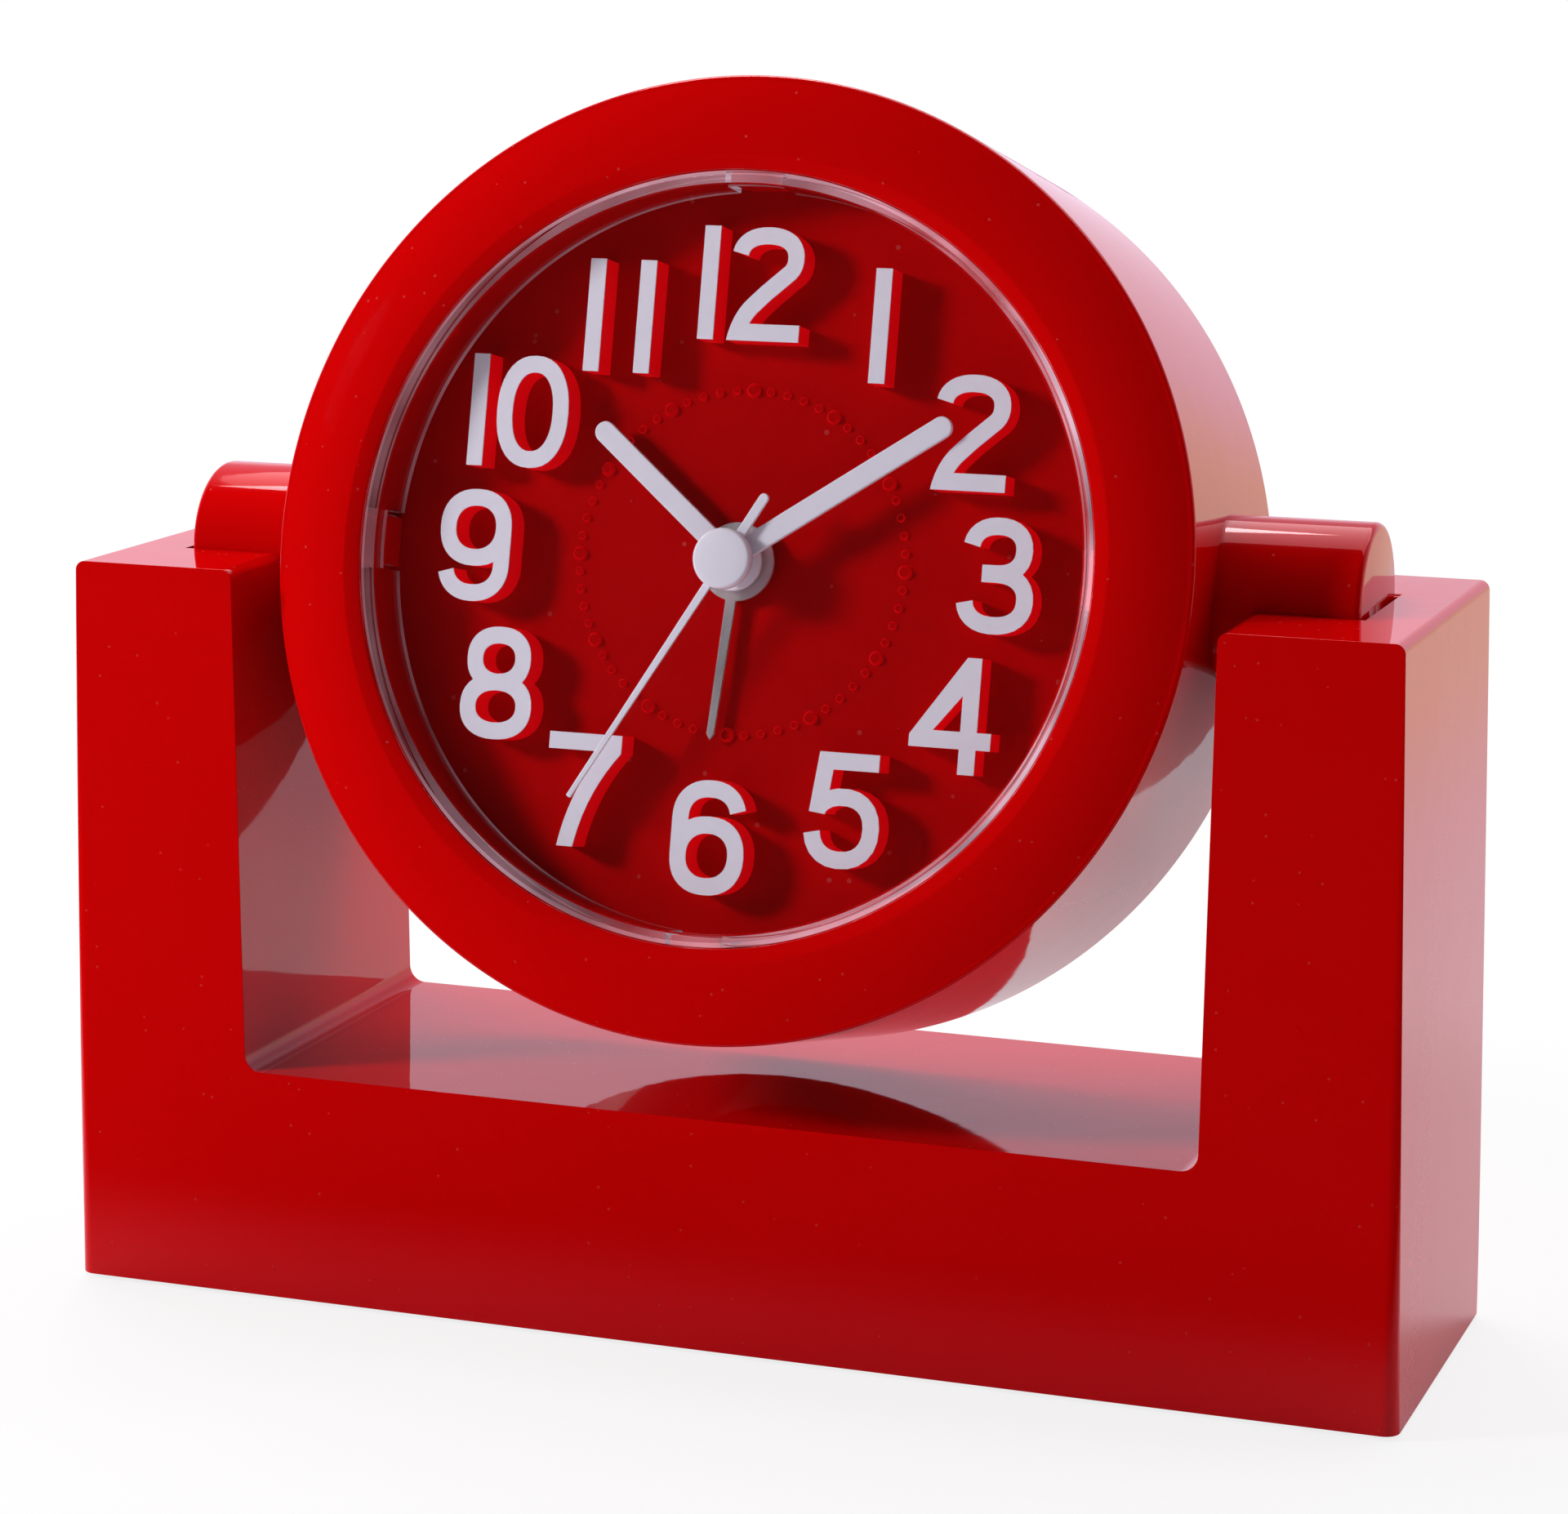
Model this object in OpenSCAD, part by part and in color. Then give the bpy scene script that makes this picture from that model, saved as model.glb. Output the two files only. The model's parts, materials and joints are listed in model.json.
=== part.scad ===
// Desk clock: a round battery alarm clock that tilts between the two pillars of a U-shaped stand.
// Millimetres, +Z up. The origin is on the table, under the middle of the stand. The dial faces -Y.

/* [Stand] */
// Thickness of each pillar at its top
pillar_w = 17.8; // [16:0.1:30]
// How much thicker a pillar is at the foot of the gap
pillar_taper = 0.8; // [0:0.1:2]
// How far each outer side leans out from top to bottom
side_flare = 1.4; // [0:0.1:2]
// Depth of the stand from front to back
stand_d = 41; // [36:0.5:60]
// Height of the bar between the pillars above the table
bar_h = 24.5; // [18:0.5:40]
// Wall of the hollow stand
stand_wall = 2.2; // [1.6:0.1:3]
// Radius of the upright edges
upright_edge_r = 1.6; // [0.5:0.1:3]
// Radius of the edges at the pillar tops
top_edge_r = 1; // [0.3:0.1:2]
// Radius of the two inner corners of the gap
crook_r = 1.8; // [0.5:0.1:4]
// Thickness of the base plate
base_t = 2; // [1.5:0.1:3]
// Diameter of a rubber foot pad
pad_d = 9; // [6:0.5:11]
// How far the pads hold the stand off the table
pad_proud = 0.5; // [0.3:0.1:1.5]

/* [Tilting head] */
// Radius of the drum
drum_r = 48; // [44:0.5:60]
// Length of the drum's side from edge to edge
drum_len = 33; // [31:0.5:50]
// Wall of the drum
drum_wall = 2; // [1.6:0.1:2.4]
// Width of the flat ring round the lens
bezel_w = 9.6; // [9.6:0.1:12]
// How far the ring bulges forward of the drum's edge
bezel_rise = 1.6; // [1:0.1:3]
// Gap between the drum and each pillar
side_gap = 3.5; // [2:0.1:8]
// Gap between the drum's swinging edge and the bar
swing_gap = 1.75; // [1:0.05:6]
// Tilt of the face away from upright at rest
rest_tilt = 12.5; // [0:0.5:20]
// Travel of the tilt each way from rest
tilt_travel = 32.5; // [10:0.5:35]
// Radius of the trunnions
trunnion_r = 8.2; // [7.5:0.1:10]
// Gap between a trunnion and its saddle
saddle_gap = 0.3; // [0.2:0.05:0.6]
// How far a trunnion reaches into its pillar
trunnion_reach = 10.8; // [9:0.1:12]

/* [Lens and dial] */
// Thickness of the lens
lens_t = 1.6; // [1:0.1:2.5]
// Wall of the skirt that carries the lens
skirt_t = 1.1; // [0.8:0.1:1.5]
// Depth of the dial behind the drum's front edge
dial_depth = 6.8; // [6:0.1:9]
// Thickness of the dial
dial_t = 1.5; // [1:0.1:2.5]
// Distance from the lens opening to the circle of the numerals
numeral_inset = 10.8; // [10:0.1:14]
// Height of the numerals
digit_h = 11.4; // [8:0.1:12.5]
// Width of the numerals
digit_w = 7.8; // [5:0.1:8.5]
// Stroke of the numerals
stroke = 1.7; // [1:0.05:2.2]
// How far the numerals stand out of the dial
relief_h = 3.25; // [3:0.05:3.6]
// Gap between the ring of minute beads and the numerals
bead_gap = 4.6; // [2.9:0.1:10]

/* [Hands] */
// How far the minute hand stops short of the circle of the numerals
minute_short = 1.1; // [-3:0.1:8]
// Gap between the tip of the hour hand and the numerals
hour_gap = 1.7; // [1.5:0.1:8]
// How far the seconds hand passes the circle of the numerals
second_past = 1; // [-5:0.1:4]
// Length of the seconds hand's tail
second_tail = 7.7; // [4:0.1:12]
// Gap between the tip of the alarm hand and the numerals
alarm_gap = 3.9; // [2.9:0.1:10]
// Width of the hour and minute hands
hand_w = 2.2; // [1:0.1:3]
// Thickness of the hour and minute hands
hand_t = 0.6; // [0.4:0.05:0.8]
// Diameter of the white cap over the hands
cap_d = 6.1; // [5:0.1:9]

/* [Back] */
// Depth of the back cover inside the drum's rear edge
back_inset = 3.5; // [3:0.1:5]
// Thickness of the back cover
back_t = 2; // [1.5:0.1:2.5]
// Diameter of the two setting knobs
knob_d = 12; // [9:0.5:13]
// Travel of the alarm switch
switch_travel = 4; // [2:0.5:5]
// Thickness of the battery door
door_t = 1.2; // [1:0.1:1.6]

/* [Battery] */
// Diameter of the battery
cell_d = 10.3; // [9.8:0.1:14.5]
// Length of the battery with its button
cell_l = 44.3; // [43:0.1:50.5]

/* [Movement] */
// Thickness of the movement's plates
plate_t = 1.4; // [1:0.1:1.8]
// Thickness of the gear wheels
wheel_t = 0.9; // [0.6:0.1:1]
// Gap between wheels one above the other
level_gap = 0.35; // [0.3:0.05:0.5]

/* [Hidden] */
$fn = 96;

// Small amount that lets a cut run past a face
cut = 1;
// Clearance between pieces that are assembled and stay together
fit = 0.1;
// Clearance of a screw in its own thread, and of a hand pressed on its pipe
thread_gap = 0.02;
press_gap = 0.01;
// Radial clearance of a shaft that turns in a bearing
bearing_gap = 0.05;
// Gap between pieces that move past each other
move_gap = 0.3;
// Overlap of two shapes that make one piece
lap = 0.1;

// Colours
red = [0.78, 0.02, 0.03];
dial_red = [0.66, 0.02, 0.05];
white = [0.9, 0.89, 0.93];
ivory = [0.9, 0.88, 0.8];
case_white = [0.93, 0.93, 0.9];
spring_brass = [0.8, 0.65, 0.3];
nickel = [0.82, 0.82, 0.8];
iron = [0.6, 0.6, 0.62];
black = [0.1, 0.1, 0.1];

// Screws: radius of the thread, radius and height of the head, and reach into the boss
screw_r = 1.1;
screw_head_r = 2.1;
screw_head_t = 1.3;
screw_bite = 4;
screw_hole = screw_bite + 2 * fit;
pivot_screw_r = 1.5;
pivot_head_r = 2.8;
pivot_head_t = 1.6;
washer_t = 0.5;

// Stand, worked out from the drum that it carries
half_drum = drum_len / 2;
swing_r = norm([drum_r, half_drum]);
axis_h = bar_h + swing_gap + swing_r;
gap_half_w = drum_r + side_gap;
stand_half_w = gap_half_w + pillar_w;
pocket_r = trunnion_r + saddle_gap;
trunnion_end_x = gap_half_w + trunnion_reach;
pocket_end_x = trunnion_end_x + 2 * saddle_gap;
saddle_wall = 2;
pivot_room = 0.8;
pivot_x = gap_half_w + stand_wall + pivot_head_r + pivot_room;
base_boss_d = 6;
base_screw_inset = 14;
edge_room = 1;
base_screw_x = gap_half_w - base_screw_inset;
base_screw_y = stand_d / 2 - stand_wall - base_boss_d / 2 - edge_room;
pad_x = stand_half_w - stand_wall - pad_d / 2 - edge_room;
pad_y = stand_d / 2 - stand_wall - pad_d / 2 - edge_room;
pad_sink = 0.7;

// Head, along the clock's own axis: z is towards the viewer and 0 at the trunnions
bore_r = drum_r - bezel_w;
lip_w = 1.4;
lip_r = bore_r + lip_w;
edge_r = 0.5;
lens_r = bore_r - fit;
notch_w = 6;
notch_h = 4.1;
key_gap = 0.4;
tube_t = 1.8;
dial_r = bore_r + tube_t;
drum_inner_r = drum_r - drum_wall;
boss_d = 6;
boss_sink = 0.4;
boss_r = drum_inner_r - boss_d / 2 + boss_sink;
dial_ear_w = 2 * (drum_inner_r - boss_r - 2 * fit);
dial_top = half_drum - dial_depth;
dial_back = dial_top - dial_t;
cover_back = back_inset - half_drum;
cover_front = cover_back + back_t;
ledge_t = 1.5;
ledge_w = 1.2;
ledge_r = drum_inner_r - ledge_w;
screw_seat_x = drum_inner_r + fit;

// Where the screws in a trunnion end: before each other and under the trunnion's axis
screw_stop = 2.4;
pivot_stop = 1.2;

// Circle of the numerals, and what is placed inside it
ring_r = bore_r - numeral_inset;
numerals_in_r = ring_r - digit_h / 2;
bead_ring_r = numerals_in_r - bead_gap;
alarm_l = numerals_in_r - alarm_gap;
hour_l = numerals_in_r - hour_gap;
minute_l = ring_r - minute_short;
second_l = ring_r + second_past;

// Hands, each level counted from the one below
alarm_hand_t = 0.35;
second_hand_t = 0.4;
cap_t = 1;
alarm_rise = 0.9;
hour_rise = 0.65;
minute_rise = 0.35;
second_rise = 0.4;
lens_room = 0.6;
alarm_z = dial_top + alarm_rise;
hour_z = alarm_z + alarm_hand_t + hour_rise;
minute_z = dial_top + relief_h + minute_rise;
second_z = minute_z + hand_t + second_rise;
cap_top = second_z + second_hand_t + cap_t;
lens_back = cap_top + lens_room;
minute_turn = 56.3;
hour_turn = 309.7;
second_turn = 210.6;
alarm_turn = 184.5;
beads = 60;
hours = 12;
// Thickness of the white face on each numeral
face_t = 0.15;
// How square the numerals' bows are: 1 is an ellipse
numeral_power = 0.88;

// Concentric shafts and pipes in the middle of the movement
second_shaft_r = 0.5;
pipe_wall = 0.7;
minute_bore_r = second_shaft_r + bearing_gap;
minute_pipe_r = minute_bore_r + pipe_wall;
hour_bore_r = minute_pipe_r + bearing_gap;
hour_pipe_r = hour_bore_r + pipe_wall;
alarm_bore_r = hour_pipe_r + bearing_gap;
alarm_pipe_r = alarm_bore_r + pipe_wall;
dial_hole_r = alarm_pipe_r + move_gap;

// Levels of the movement, counted back from the dial
front_plate_back = dial_back - plate_t;
alarm_wheel_z = front_plate_back - level_gap - wheel_t;
hour_wheel_z = alarm_wheel_z - level_gap - wheel_t;
motion_wheel_z = hour_wheel_z - level_gap - wheel_t;
centre_wheel_z = motion_wheel_z - level_gap - wheel_t;
middle_top = centre_wheel_z - level_gap;
middle_share = 0.6;
middle_back = middle_top - plate_t * middle_share;
third_wheel_z = middle_back - level_gap - wheel_t;
second_wheel_z = third_wheel_z - wheel_t - level_gap * 2;
fifth_wheel_z = second_wheel_z - level_gap - wheel_t;
rotor_pinion_z = fifth_wheel_z - level_gap;
board_room = 1.7;
back_plate_front = rotor_pinion_z - board_room;
back_plate_back = back_plate_front - plate_t;
case_split = middle_back;

// Tooth counts
second_teeth = 60;
fifth_pinion_teeth = 10;
fifth_teeth = 50;
rotor_teeth = 10;
second_pinion_teeth = 8;
third_teeth = 60;
third_pinion_teeth = 8;
centre_teeth = 64;
minute_pinion_teeth = 12;
motion_teeth = 36;
motion_pinion_teeth = 10;
hour_teeth = 40;
time_teeth = 12;
alarm_teeth = 40;
alarm_set_teeth = 22;

// Distances between axes and the modules that follow from them
third_gap = 9.2;
fifth_gap = 9.2;
motion_gap = 9.4;
rotor_gap = 9;
alarm_module = 0.4;
set_gap = alarm_module * (alarm_teeth + alarm_set_teeth) / 2;
second_module = 2 * fifth_gap / (second_teeth + fifth_pinion_teeth);
fifth_module = 2 * rotor_gap / (fifth_teeth + rotor_teeth);
third_module = 2 * third_gap / (second_pinion_teeth + third_teeth);
centre_module = 2 * third_gap / (third_pinion_teeth + centre_teeth);
motion_module = 2 * motion_gap / (minute_pinion_teeth + motion_teeth);
hour_module = 2 * motion_gap / (motion_pinion_teeth + hour_teeth);
time_gap = motion_module * (motion_teeth + time_teeth) / 2;

// Directions of the axes round the centre, anticlockwise from 3 o'clock as the viewer sees them
third_way = 135;
fifth_way = 45;
rotor_way = -40;
motion_way = 215;
time_way = 202.2;
third_at = along(third_gap, third_way);
fifth_at = along(fifth_gap, fifth_way);
rotor_at = fifth_at + along(rotor_gap, rotor_way);
motion_at = along(motion_gap, motion_way);
time_at = motion_at + along(time_gap, time_way);
alarm_way = asin(time_at[1] / set_gap);
alarm_at = along(set_gap, alarm_way);

// Turns that put a tooth of one wheel into a gap of the next
fifth_turn = mesh_turn(0, second_teeth, fifth_pinion_teeth, fifth_way);
rotor_turn = mesh_turn(fifth_turn, fifth_teeth, rotor_teeth, rotor_way);
third_turn = mesh_turn(0, second_pinion_teeth, third_teeth, third_way);
centre_turn = mesh_turn(third_turn, third_pinion_teeth, centre_teeth, third_way + 180);
motion_turn = mesh_turn(0, minute_pinion_teeth, motion_teeth, motion_way);
hour_wheel_turn = mesh_turn(motion_turn, motion_pinion_teeth, hour_teeth, motion_way + 180);
time_turn = mesh_turn(motion_turn, motion_teeth, time_teeth, time_way);
alarm_set_turn = mesh_turn(0, alarm_teeth, alarm_set_teeth, alarm_way);

// Movement case: its left, right, lower and upper outside faces
case_left = -21;
case_right = 25;
case_low = -15.2;
case_high = 16.8;
case_wall = 1.2;
arbor_r = 0.4;
bearing_depth = 0.8;
shaft_in = bearing_depth - fit;
middle_in = 0.4;
ear_r = 2.4;
ear_inset = 4;
post_x = [case_left - ear_r - fit, case_right + ear_r + fit];
post_y = [case_low + ear_inset, case_high - ear_inset];

// Fixed stud that the motion wheel turns on
stud_r = 0.6;
stud_top = hour_wheel_z + wheel_t;

// Stepping motor
magnet_r = 2.6;
magnet_t = 2;
core_w = 2.4;
stator_t = 0.7;
stator_hole_r = magnet_r + 0.5;
stator_room = 1.8;
stator_z = middle_back - stator_room;
coil_r = 2;
coil_room = 0.7;
coil_below = 9;
coil_above = 11;
coil_x = case_right - case_wall - coil_r - coil_room;
coil_low = rotor_at[1] - coil_below;
coil_high = rotor_at[1] + coil_above;
flange_inset = 1.7;
flange_t = 0.8;
sleeve_r = core_w / 2 + 0.3;
core_t = 0.8;
core_z = stator_z - core_t;

// Circuit board and what is on it
board_t = 0.8;
board_w = 9.4;
board_z = back_plate_front + 2 * fit;
board_left = 2;
board_low = case_low + case_wall + fit;
chip_at = [15.5, board_low + 5.6];

// Battery bay in the back cover
bay_gap = 0.4;
bay_wall = 1.3;
contact_t = 0.3;
contact_reach = 1.7;
contact_w = cell_d * 0.85;
bay_half_l = cell_l / 2 + contact_reach;
bay_half_w = cell_d / 2 + bay_gap;
door_lap = 1.4;
door_gap = move_gap;
door_recess = door_t + move_gap;
door_half_w = bay_half_w + door_lap;
door_half_l = bay_half_l + door_lap;
bay_rim = 1.4;
bay_y = door_half_w + bay_rim - sqrt(pow(drum_inner_r, 2) - pow(door_half_l + bay_rim, 2));
cell_z = cover_back + door_recess + bay_gap / 2 + cell_d / 2;
bay_floor = cell_z + cell_d / 2 + bay_gap / 2;
hinge_r = door_t / 2;
hinge_y = bay_y - door_half_w + hinge_r;
hinge_z = cover_back + hinge_r;
hinge_pin_r = 0.4;
hinge_pin_l = 0.6;

// Buzzer, switch and knobs
buzzer_r = 10;
buzzer_t = 0.5;
buzzer_rim = 1.2;
buzzer_inset = 4.8;
buzzer_y = ledge_r - buzzer_r - buzzer_inset;
switch_inset = 14.5;
switch_at = [drum_inner_r - switch_inset, 6];
retainer_x = 4.5;
retainer_h = 1.4;
retainer_pin_r = 0.7;
retainer_in = 0.5;
switch_w = 5;
switch_l = 7;
stem_w = 2.4;
stem_l = 3;
knob_t = 3;
knob_z = cover_back - move_gap - knob_t;
knob_shaft_r = 1;
knob_grips = 30;
countersink = 0.8;

// A point at a distance and an angle from the centre
function along(distance, angle) = distance * [cos(angle), sin(angle)];

// Turn of wheel B, with teeth_b, that meshes with wheel A, whose turn and teeth are given.
// The angle is the direction from A to B.
function mesh_turn(turn_a, teeth_a, teeth_b, angle) =
    angle + 180 + 180 / teeth_b - (turn_a - angle) * teeth_a / teeth_b;

// A power of a value that keeps its sign
function soft(value, power) = sign(value) * pow(abs(value), power);

// Points of an arc of an ellipse, from one angle to another. A power under 1 makes it squarer.
function arc(centre, rx, ry, from, to, steps = 16, power = 1) = [
    for (i = [0:steps])
        let (a = from + (to - from) * i / steps)
        centre + [rx * soft(cos(a), power), ry * soft(sin(a), power)]
];

// Bow of a numeral
function bow(centre, rx, ry, from, to, steps = 20) =
    arc(centre, rx, ry, from, to, steps, numeral_power);

// Points of a quadratic curve
function curve(a, b, c, steps = 10) = [
    for (i = [0:steps])
        let (t = i / steps)
        a * pow(1 - t, 2) + b * 2 * t * (1 - t) + c * t * t
];

// Points beside a path, at half the stroke to one side
function beside(path, offset_by) = [
    for (i = [0:len(path) - 1])
        let (
            before = path[max(i - 1, 0)],
            after = path[min(i + 1, len(path) - 1)],
            way = (after - before) / norm(after - before)
        )
        path[i] + offset_by * [-way[1], way[0]]
];

// A value read backwards
function backwards(list) = [for (i = [len(list) - 1:-1:0]) list[i]];

// Outline of a gear: each tooth has a root, a straight flank, a narrowed tip and clearance for its mate
function gear_points(teeth, size, fill = 0.82) = let (
    pitch_r = teeth * size / 2,
    half = 90 / teeth * fill,
    tip_r = pitch_r + 0.85 * size,
    root_r = pitch_r - 1.15 * size
) [
    for (i = [0:teeth - 1])
        let (a = i * 360 / teeth)
        for (p = [
            [root_r, -half * 1.05],
            [pitch_r - 0.2 * size, -half],
            [pitch_r + 0.4 * size, -half * 0.72],
            [tip_r, -half * 0.36],
            [tip_r, half * 0.36],
            [pitch_r + 0.4 * size, half * 0.72],
            [pitch_r - 0.2 * size, half],
            [root_r, half * 1.05],
        ])
            along(p[0], a + p[1])
];

// Places children in the head, where x is right, y is up and z is towards the viewer
module in_head() {
    translate([0, 0, axis_h])
        rotate([90 - rest_tilt, 0, 0])
            children();
}

// Places children at both sides, the second mirrored
module both_sides() {
    children();
    mirror([1, 0, 0]) children();
}

// A ring of a height, from an inner to an outer radius
module tube(outer_r, inner_r, height) {
    difference() {
        cylinder(r = outer_r, h = height);
        translate([0, 0, -cut]) cylinder(r = inner_r, h = height + 2 * cut);
    }
}

// A gear with a bore
module gear(teeth, size, height, bore_radius = 0, turn = 0) {
    difference() {
        rotate([0, 0, turn])
            linear_extrude(height)
                polygon(gear_points(teeth, size));
        if (bore_radius > 0)
            translate([0, 0, -cut]) cylinder(r = bore_radius, h = height + 2 * cut, $fn = 48);
    }
}

// A rectangle with rounded corners, centred
module rounded_rectangle(width, height, radius) {
    hull()
        for (x = [-1, 1], y = [-1, 1])
            translate([x * (width / 2 - radius), y * (height / 2 - radius)])
                circle(r = radius, $fn = 32);
}

// Profile of the stand from the front, without rounding
module stand_profile() {
    polygon([
        [-stand_half_w - side_flare, pad_proud],
        [stand_half_w + side_flare, pad_proud],
        [stand_half_w, axis_h],
        [gap_half_w, axis_h],
        [gap_half_w - pillar_taper, bar_h],
        [-gap_half_w + pillar_taper, bar_h],
        [-gap_half_w, axis_h],
        [-stand_half_w, axis_h],
    ]);
}

// Profile of the stand from the front, with rounded pillar tops and inner corners and a sharp bottom edge
module rounded_stand_profile() {
    offset(r = -crook_r, $fn = 32)
        offset(delta = crook_r)
            offset(r = top_edge_r, $fn = 32)
                offset(delta = -top_edge_r)
                    stand_profile();
    translate([-stand_half_w - side_flare, pad_proud])
        square([2 * (stand_half_w + side_flare), 2 * top_edge_r]);
}

// Solid block of the stand with its outer shape
module stand_block() {
    intersection() {
        translate([0, stand_d / 2, 0])
            rotate([90, 0, 0])
                linear_extrude(stand_d) rounded_stand_profile();
        linear_extrude(axis_h + cut)
            rounded_rectangle(2 * (stand_half_w + side_flare), stand_d, upright_edge_r);
    }
}

// Hollow of the stand, open at the bottom
module stand_hollow() {
    depth = stand_d - 2 * stand_wall;
    translate([0, depth / 2, 0])
        rotate([90, 0, 0])
            linear_extrude(depth) {
                offset(delta = -stand_wall) stand_profile();
                translate([-stand_half_w + stand_wall, pad_proud - cut])
                    square([2 * (stand_half_w - stand_wall), base_t + stand_wall + cut]);
            }
}

// Outer wall of a saddle inside a pillar
module saddle_wall_solid() {
    translate([gap_half_w - pillar_taper / 4, 0, axis_h])
        rotate([0, 90, 0])
            cylinder(r = pocket_r + saddle_wall, h = pocket_end_x + saddle_wall - gap_half_w);
}

// Half-round pocket in a pillar top, where a trunnion lies
module saddle_pocket() {
    translate([gap_half_w - cut - crook_r, 0, axis_h])
        rotate([0, 90, 0])
            cylinder(r = pocket_r, h = pocket_end_x - gap_half_w + cut + crook_r);
}

// Slot under a saddle, along which the pivot screw swings
module pivot_slot() {
    half_angle = tilt_travel + asin((pivot_screw_r + move_gap) / pocket_r);
    reach = pocket_r + saddle_wall + cut;
    width = 2 * (pivot_screw_r + move_gap);
    translate([pivot_x - width / 2, 0, axis_h])
        rotate([90, 0, 90])
            linear_extrude(width)
                polygon(concat(
                    [[0, 0]],
                    arc([0, 0], reach, reach, -90 - half_angle, -90 + half_angle)
                ));
}

module stand_shell() {
    color(red)
        difference() {
            union() {
                difference() {
                    stand_block();
                    stand_hollow();
                }
                intersection() {
                    both_sides() saddle_wall_solid();
                    stand_block();
                }
                for (x = [-1, 1], y = [-1, 1])
                    translate([x * base_screw_x, y * base_screw_y, pad_proud + base_t])
                        cylinder(d = base_boss_d, h = bar_h - stand_wall / 2 - pad_proud - base_t);
            }
            both_sides() saddle_pocket();
            both_sides() pivot_slot();
            for (x = [-1, 1], y = [-1, 1])
                translate([x * base_screw_x, y * base_screw_y, pad_proud])
                    cylinder(r = screw_r + thread_gap, h = base_t + screw_hole, $fn = 48);
        }
}

module base_plate() {
    color(red)
        difference() {
            translate([0, 0, pad_proud])
                linear_extrude(base_t)
                    rounded_rectangle(
                        2 * (stand_half_w - stand_wall - fit),
                        stand_d - 2 * (stand_wall + fit),
                        upright_edge_r / 2
                    );
            for (x = [-1, 1], y = [-1, 1]) {
                translate([x * base_screw_x, y * base_screw_y, 0]) {
                    cylinder(r = screw_r + fit, h = pad_proud + base_t + cut, $fn = 48);
                    translate([0, 0, pad_proud - cut])
                        cylinder(r = screw_head_r + 2 * fit, h = screw_head_t + fit + cut, $fn = 48);
                }
                translate([x * pad_x, y * pad_y, pad_proud - cut])
                    cylinder(d = pad_d + 2 * fit, h = pad_sink + cut);
            }
        }
}

module base_screws() {
    color("silver")
        for (x = [-1, 1], y = [-1, 1])
            translate([x * base_screw_x, y * base_screw_y, pad_proud + fit])
                screw(screw_r, screw_head_r, screw_head_t, base_t - screw_head_t + screw_bite);
}

module foot_pads() {
    color(black)
        for (x = [-1, 1], y = [-1, 1])
            translate([x * pad_x, y * pad_y, 0])
                cylinder(d = pad_d, h = pad_proud + pad_sink);
}

// A pan-head screw with a cross recess: the head is below, the thread points up
module screw(radius, head_radius, head_height, length) {
    slot_w = radius * 0.6;
    difference() {
        union() {
            cylinder(r1 = head_radius * 0.8, r2 = head_radius, h = head_height / 2, $fn = 48);
            translate([0, 0, head_height / 2])
                cylinder(r = head_radius, h = head_height / 2, $fn = 48);
            cylinder(r = radius, h = head_height + length, $fn = 48);
        }
        for (a = [0, 90])
            rotate([0, 0, a])
                translate([-head_radius * 0.55, -slot_w / 2, -cut])
                    cube([head_radius * 1.1, slot_w, head_height * 0.6 + cut]);
    }
}

// Height of the ring's front above the drum's edge at a radius: a shallow bulge towards the lens
function bezel_height(r) =
    let (t = (r - lip_r) / (drum_r - edge_r - lip_r))
    bezel_rise * (1 - t * t);

// Section of the drum: outer wall, bulged front ring and the tube that holds the lens
module drum_section() {
    steps = 8;
    polygon(concat(
        [[drum_r, -half_drum + edge_r / 2]],
        arc([drum_r - edge_r, half_drum - edge_r], edge_r, edge_r, 0, 90, 4),
        [
            for (i = [1:steps])
                let (r = drum_r - edge_r + (lip_r - drum_r + edge_r) * i / steps)
                [r, half_drum + bezel_height(r)]
        ],
        [
            [bore_r, half_drum + bezel_rise - edge_r],
            [bore_r, dial_top],
            [bore_r + tube_t, dial_top],
            [bore_r + tube_t, half_drum - drum_wall - 1],
            [bore_r + tube_t + 1, half_drum - drum_wall],
            [drum_inner_r - 1, half_drum - drum_wall],
            [drum_inner_r, half_drum - drum_wall - 1],
            [drum_inner_r, cover_front + ledge_t + ledge_w],
            [ledge_r, cover_front + ledge_t],
            [ledge_r, cover_front],
            [drum_inner_r, cover_front],
            [drum_inner_r, -half_drum],
            [drum_r - edge_r / 2, -half_drum],
        ]
    ));
}

// The places of three posts round the drum
module thirds(start) {
    for (i = [0:2])
        rotate([0, 0, start + i * 120])
            translate([boss_r, 0, 0])
                children();
}

// Keys in the lens opening, at 3, 6, 9 and 12 o'clock
module lens_keys(width, height, depth) {
    for (i = [0:3])
        rotate([0, 0, 90 * i])
            translate([bore_r - depth, -width / 2, dial_top])
                cube([depth + tube_t / 2, width, height]);
}

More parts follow.
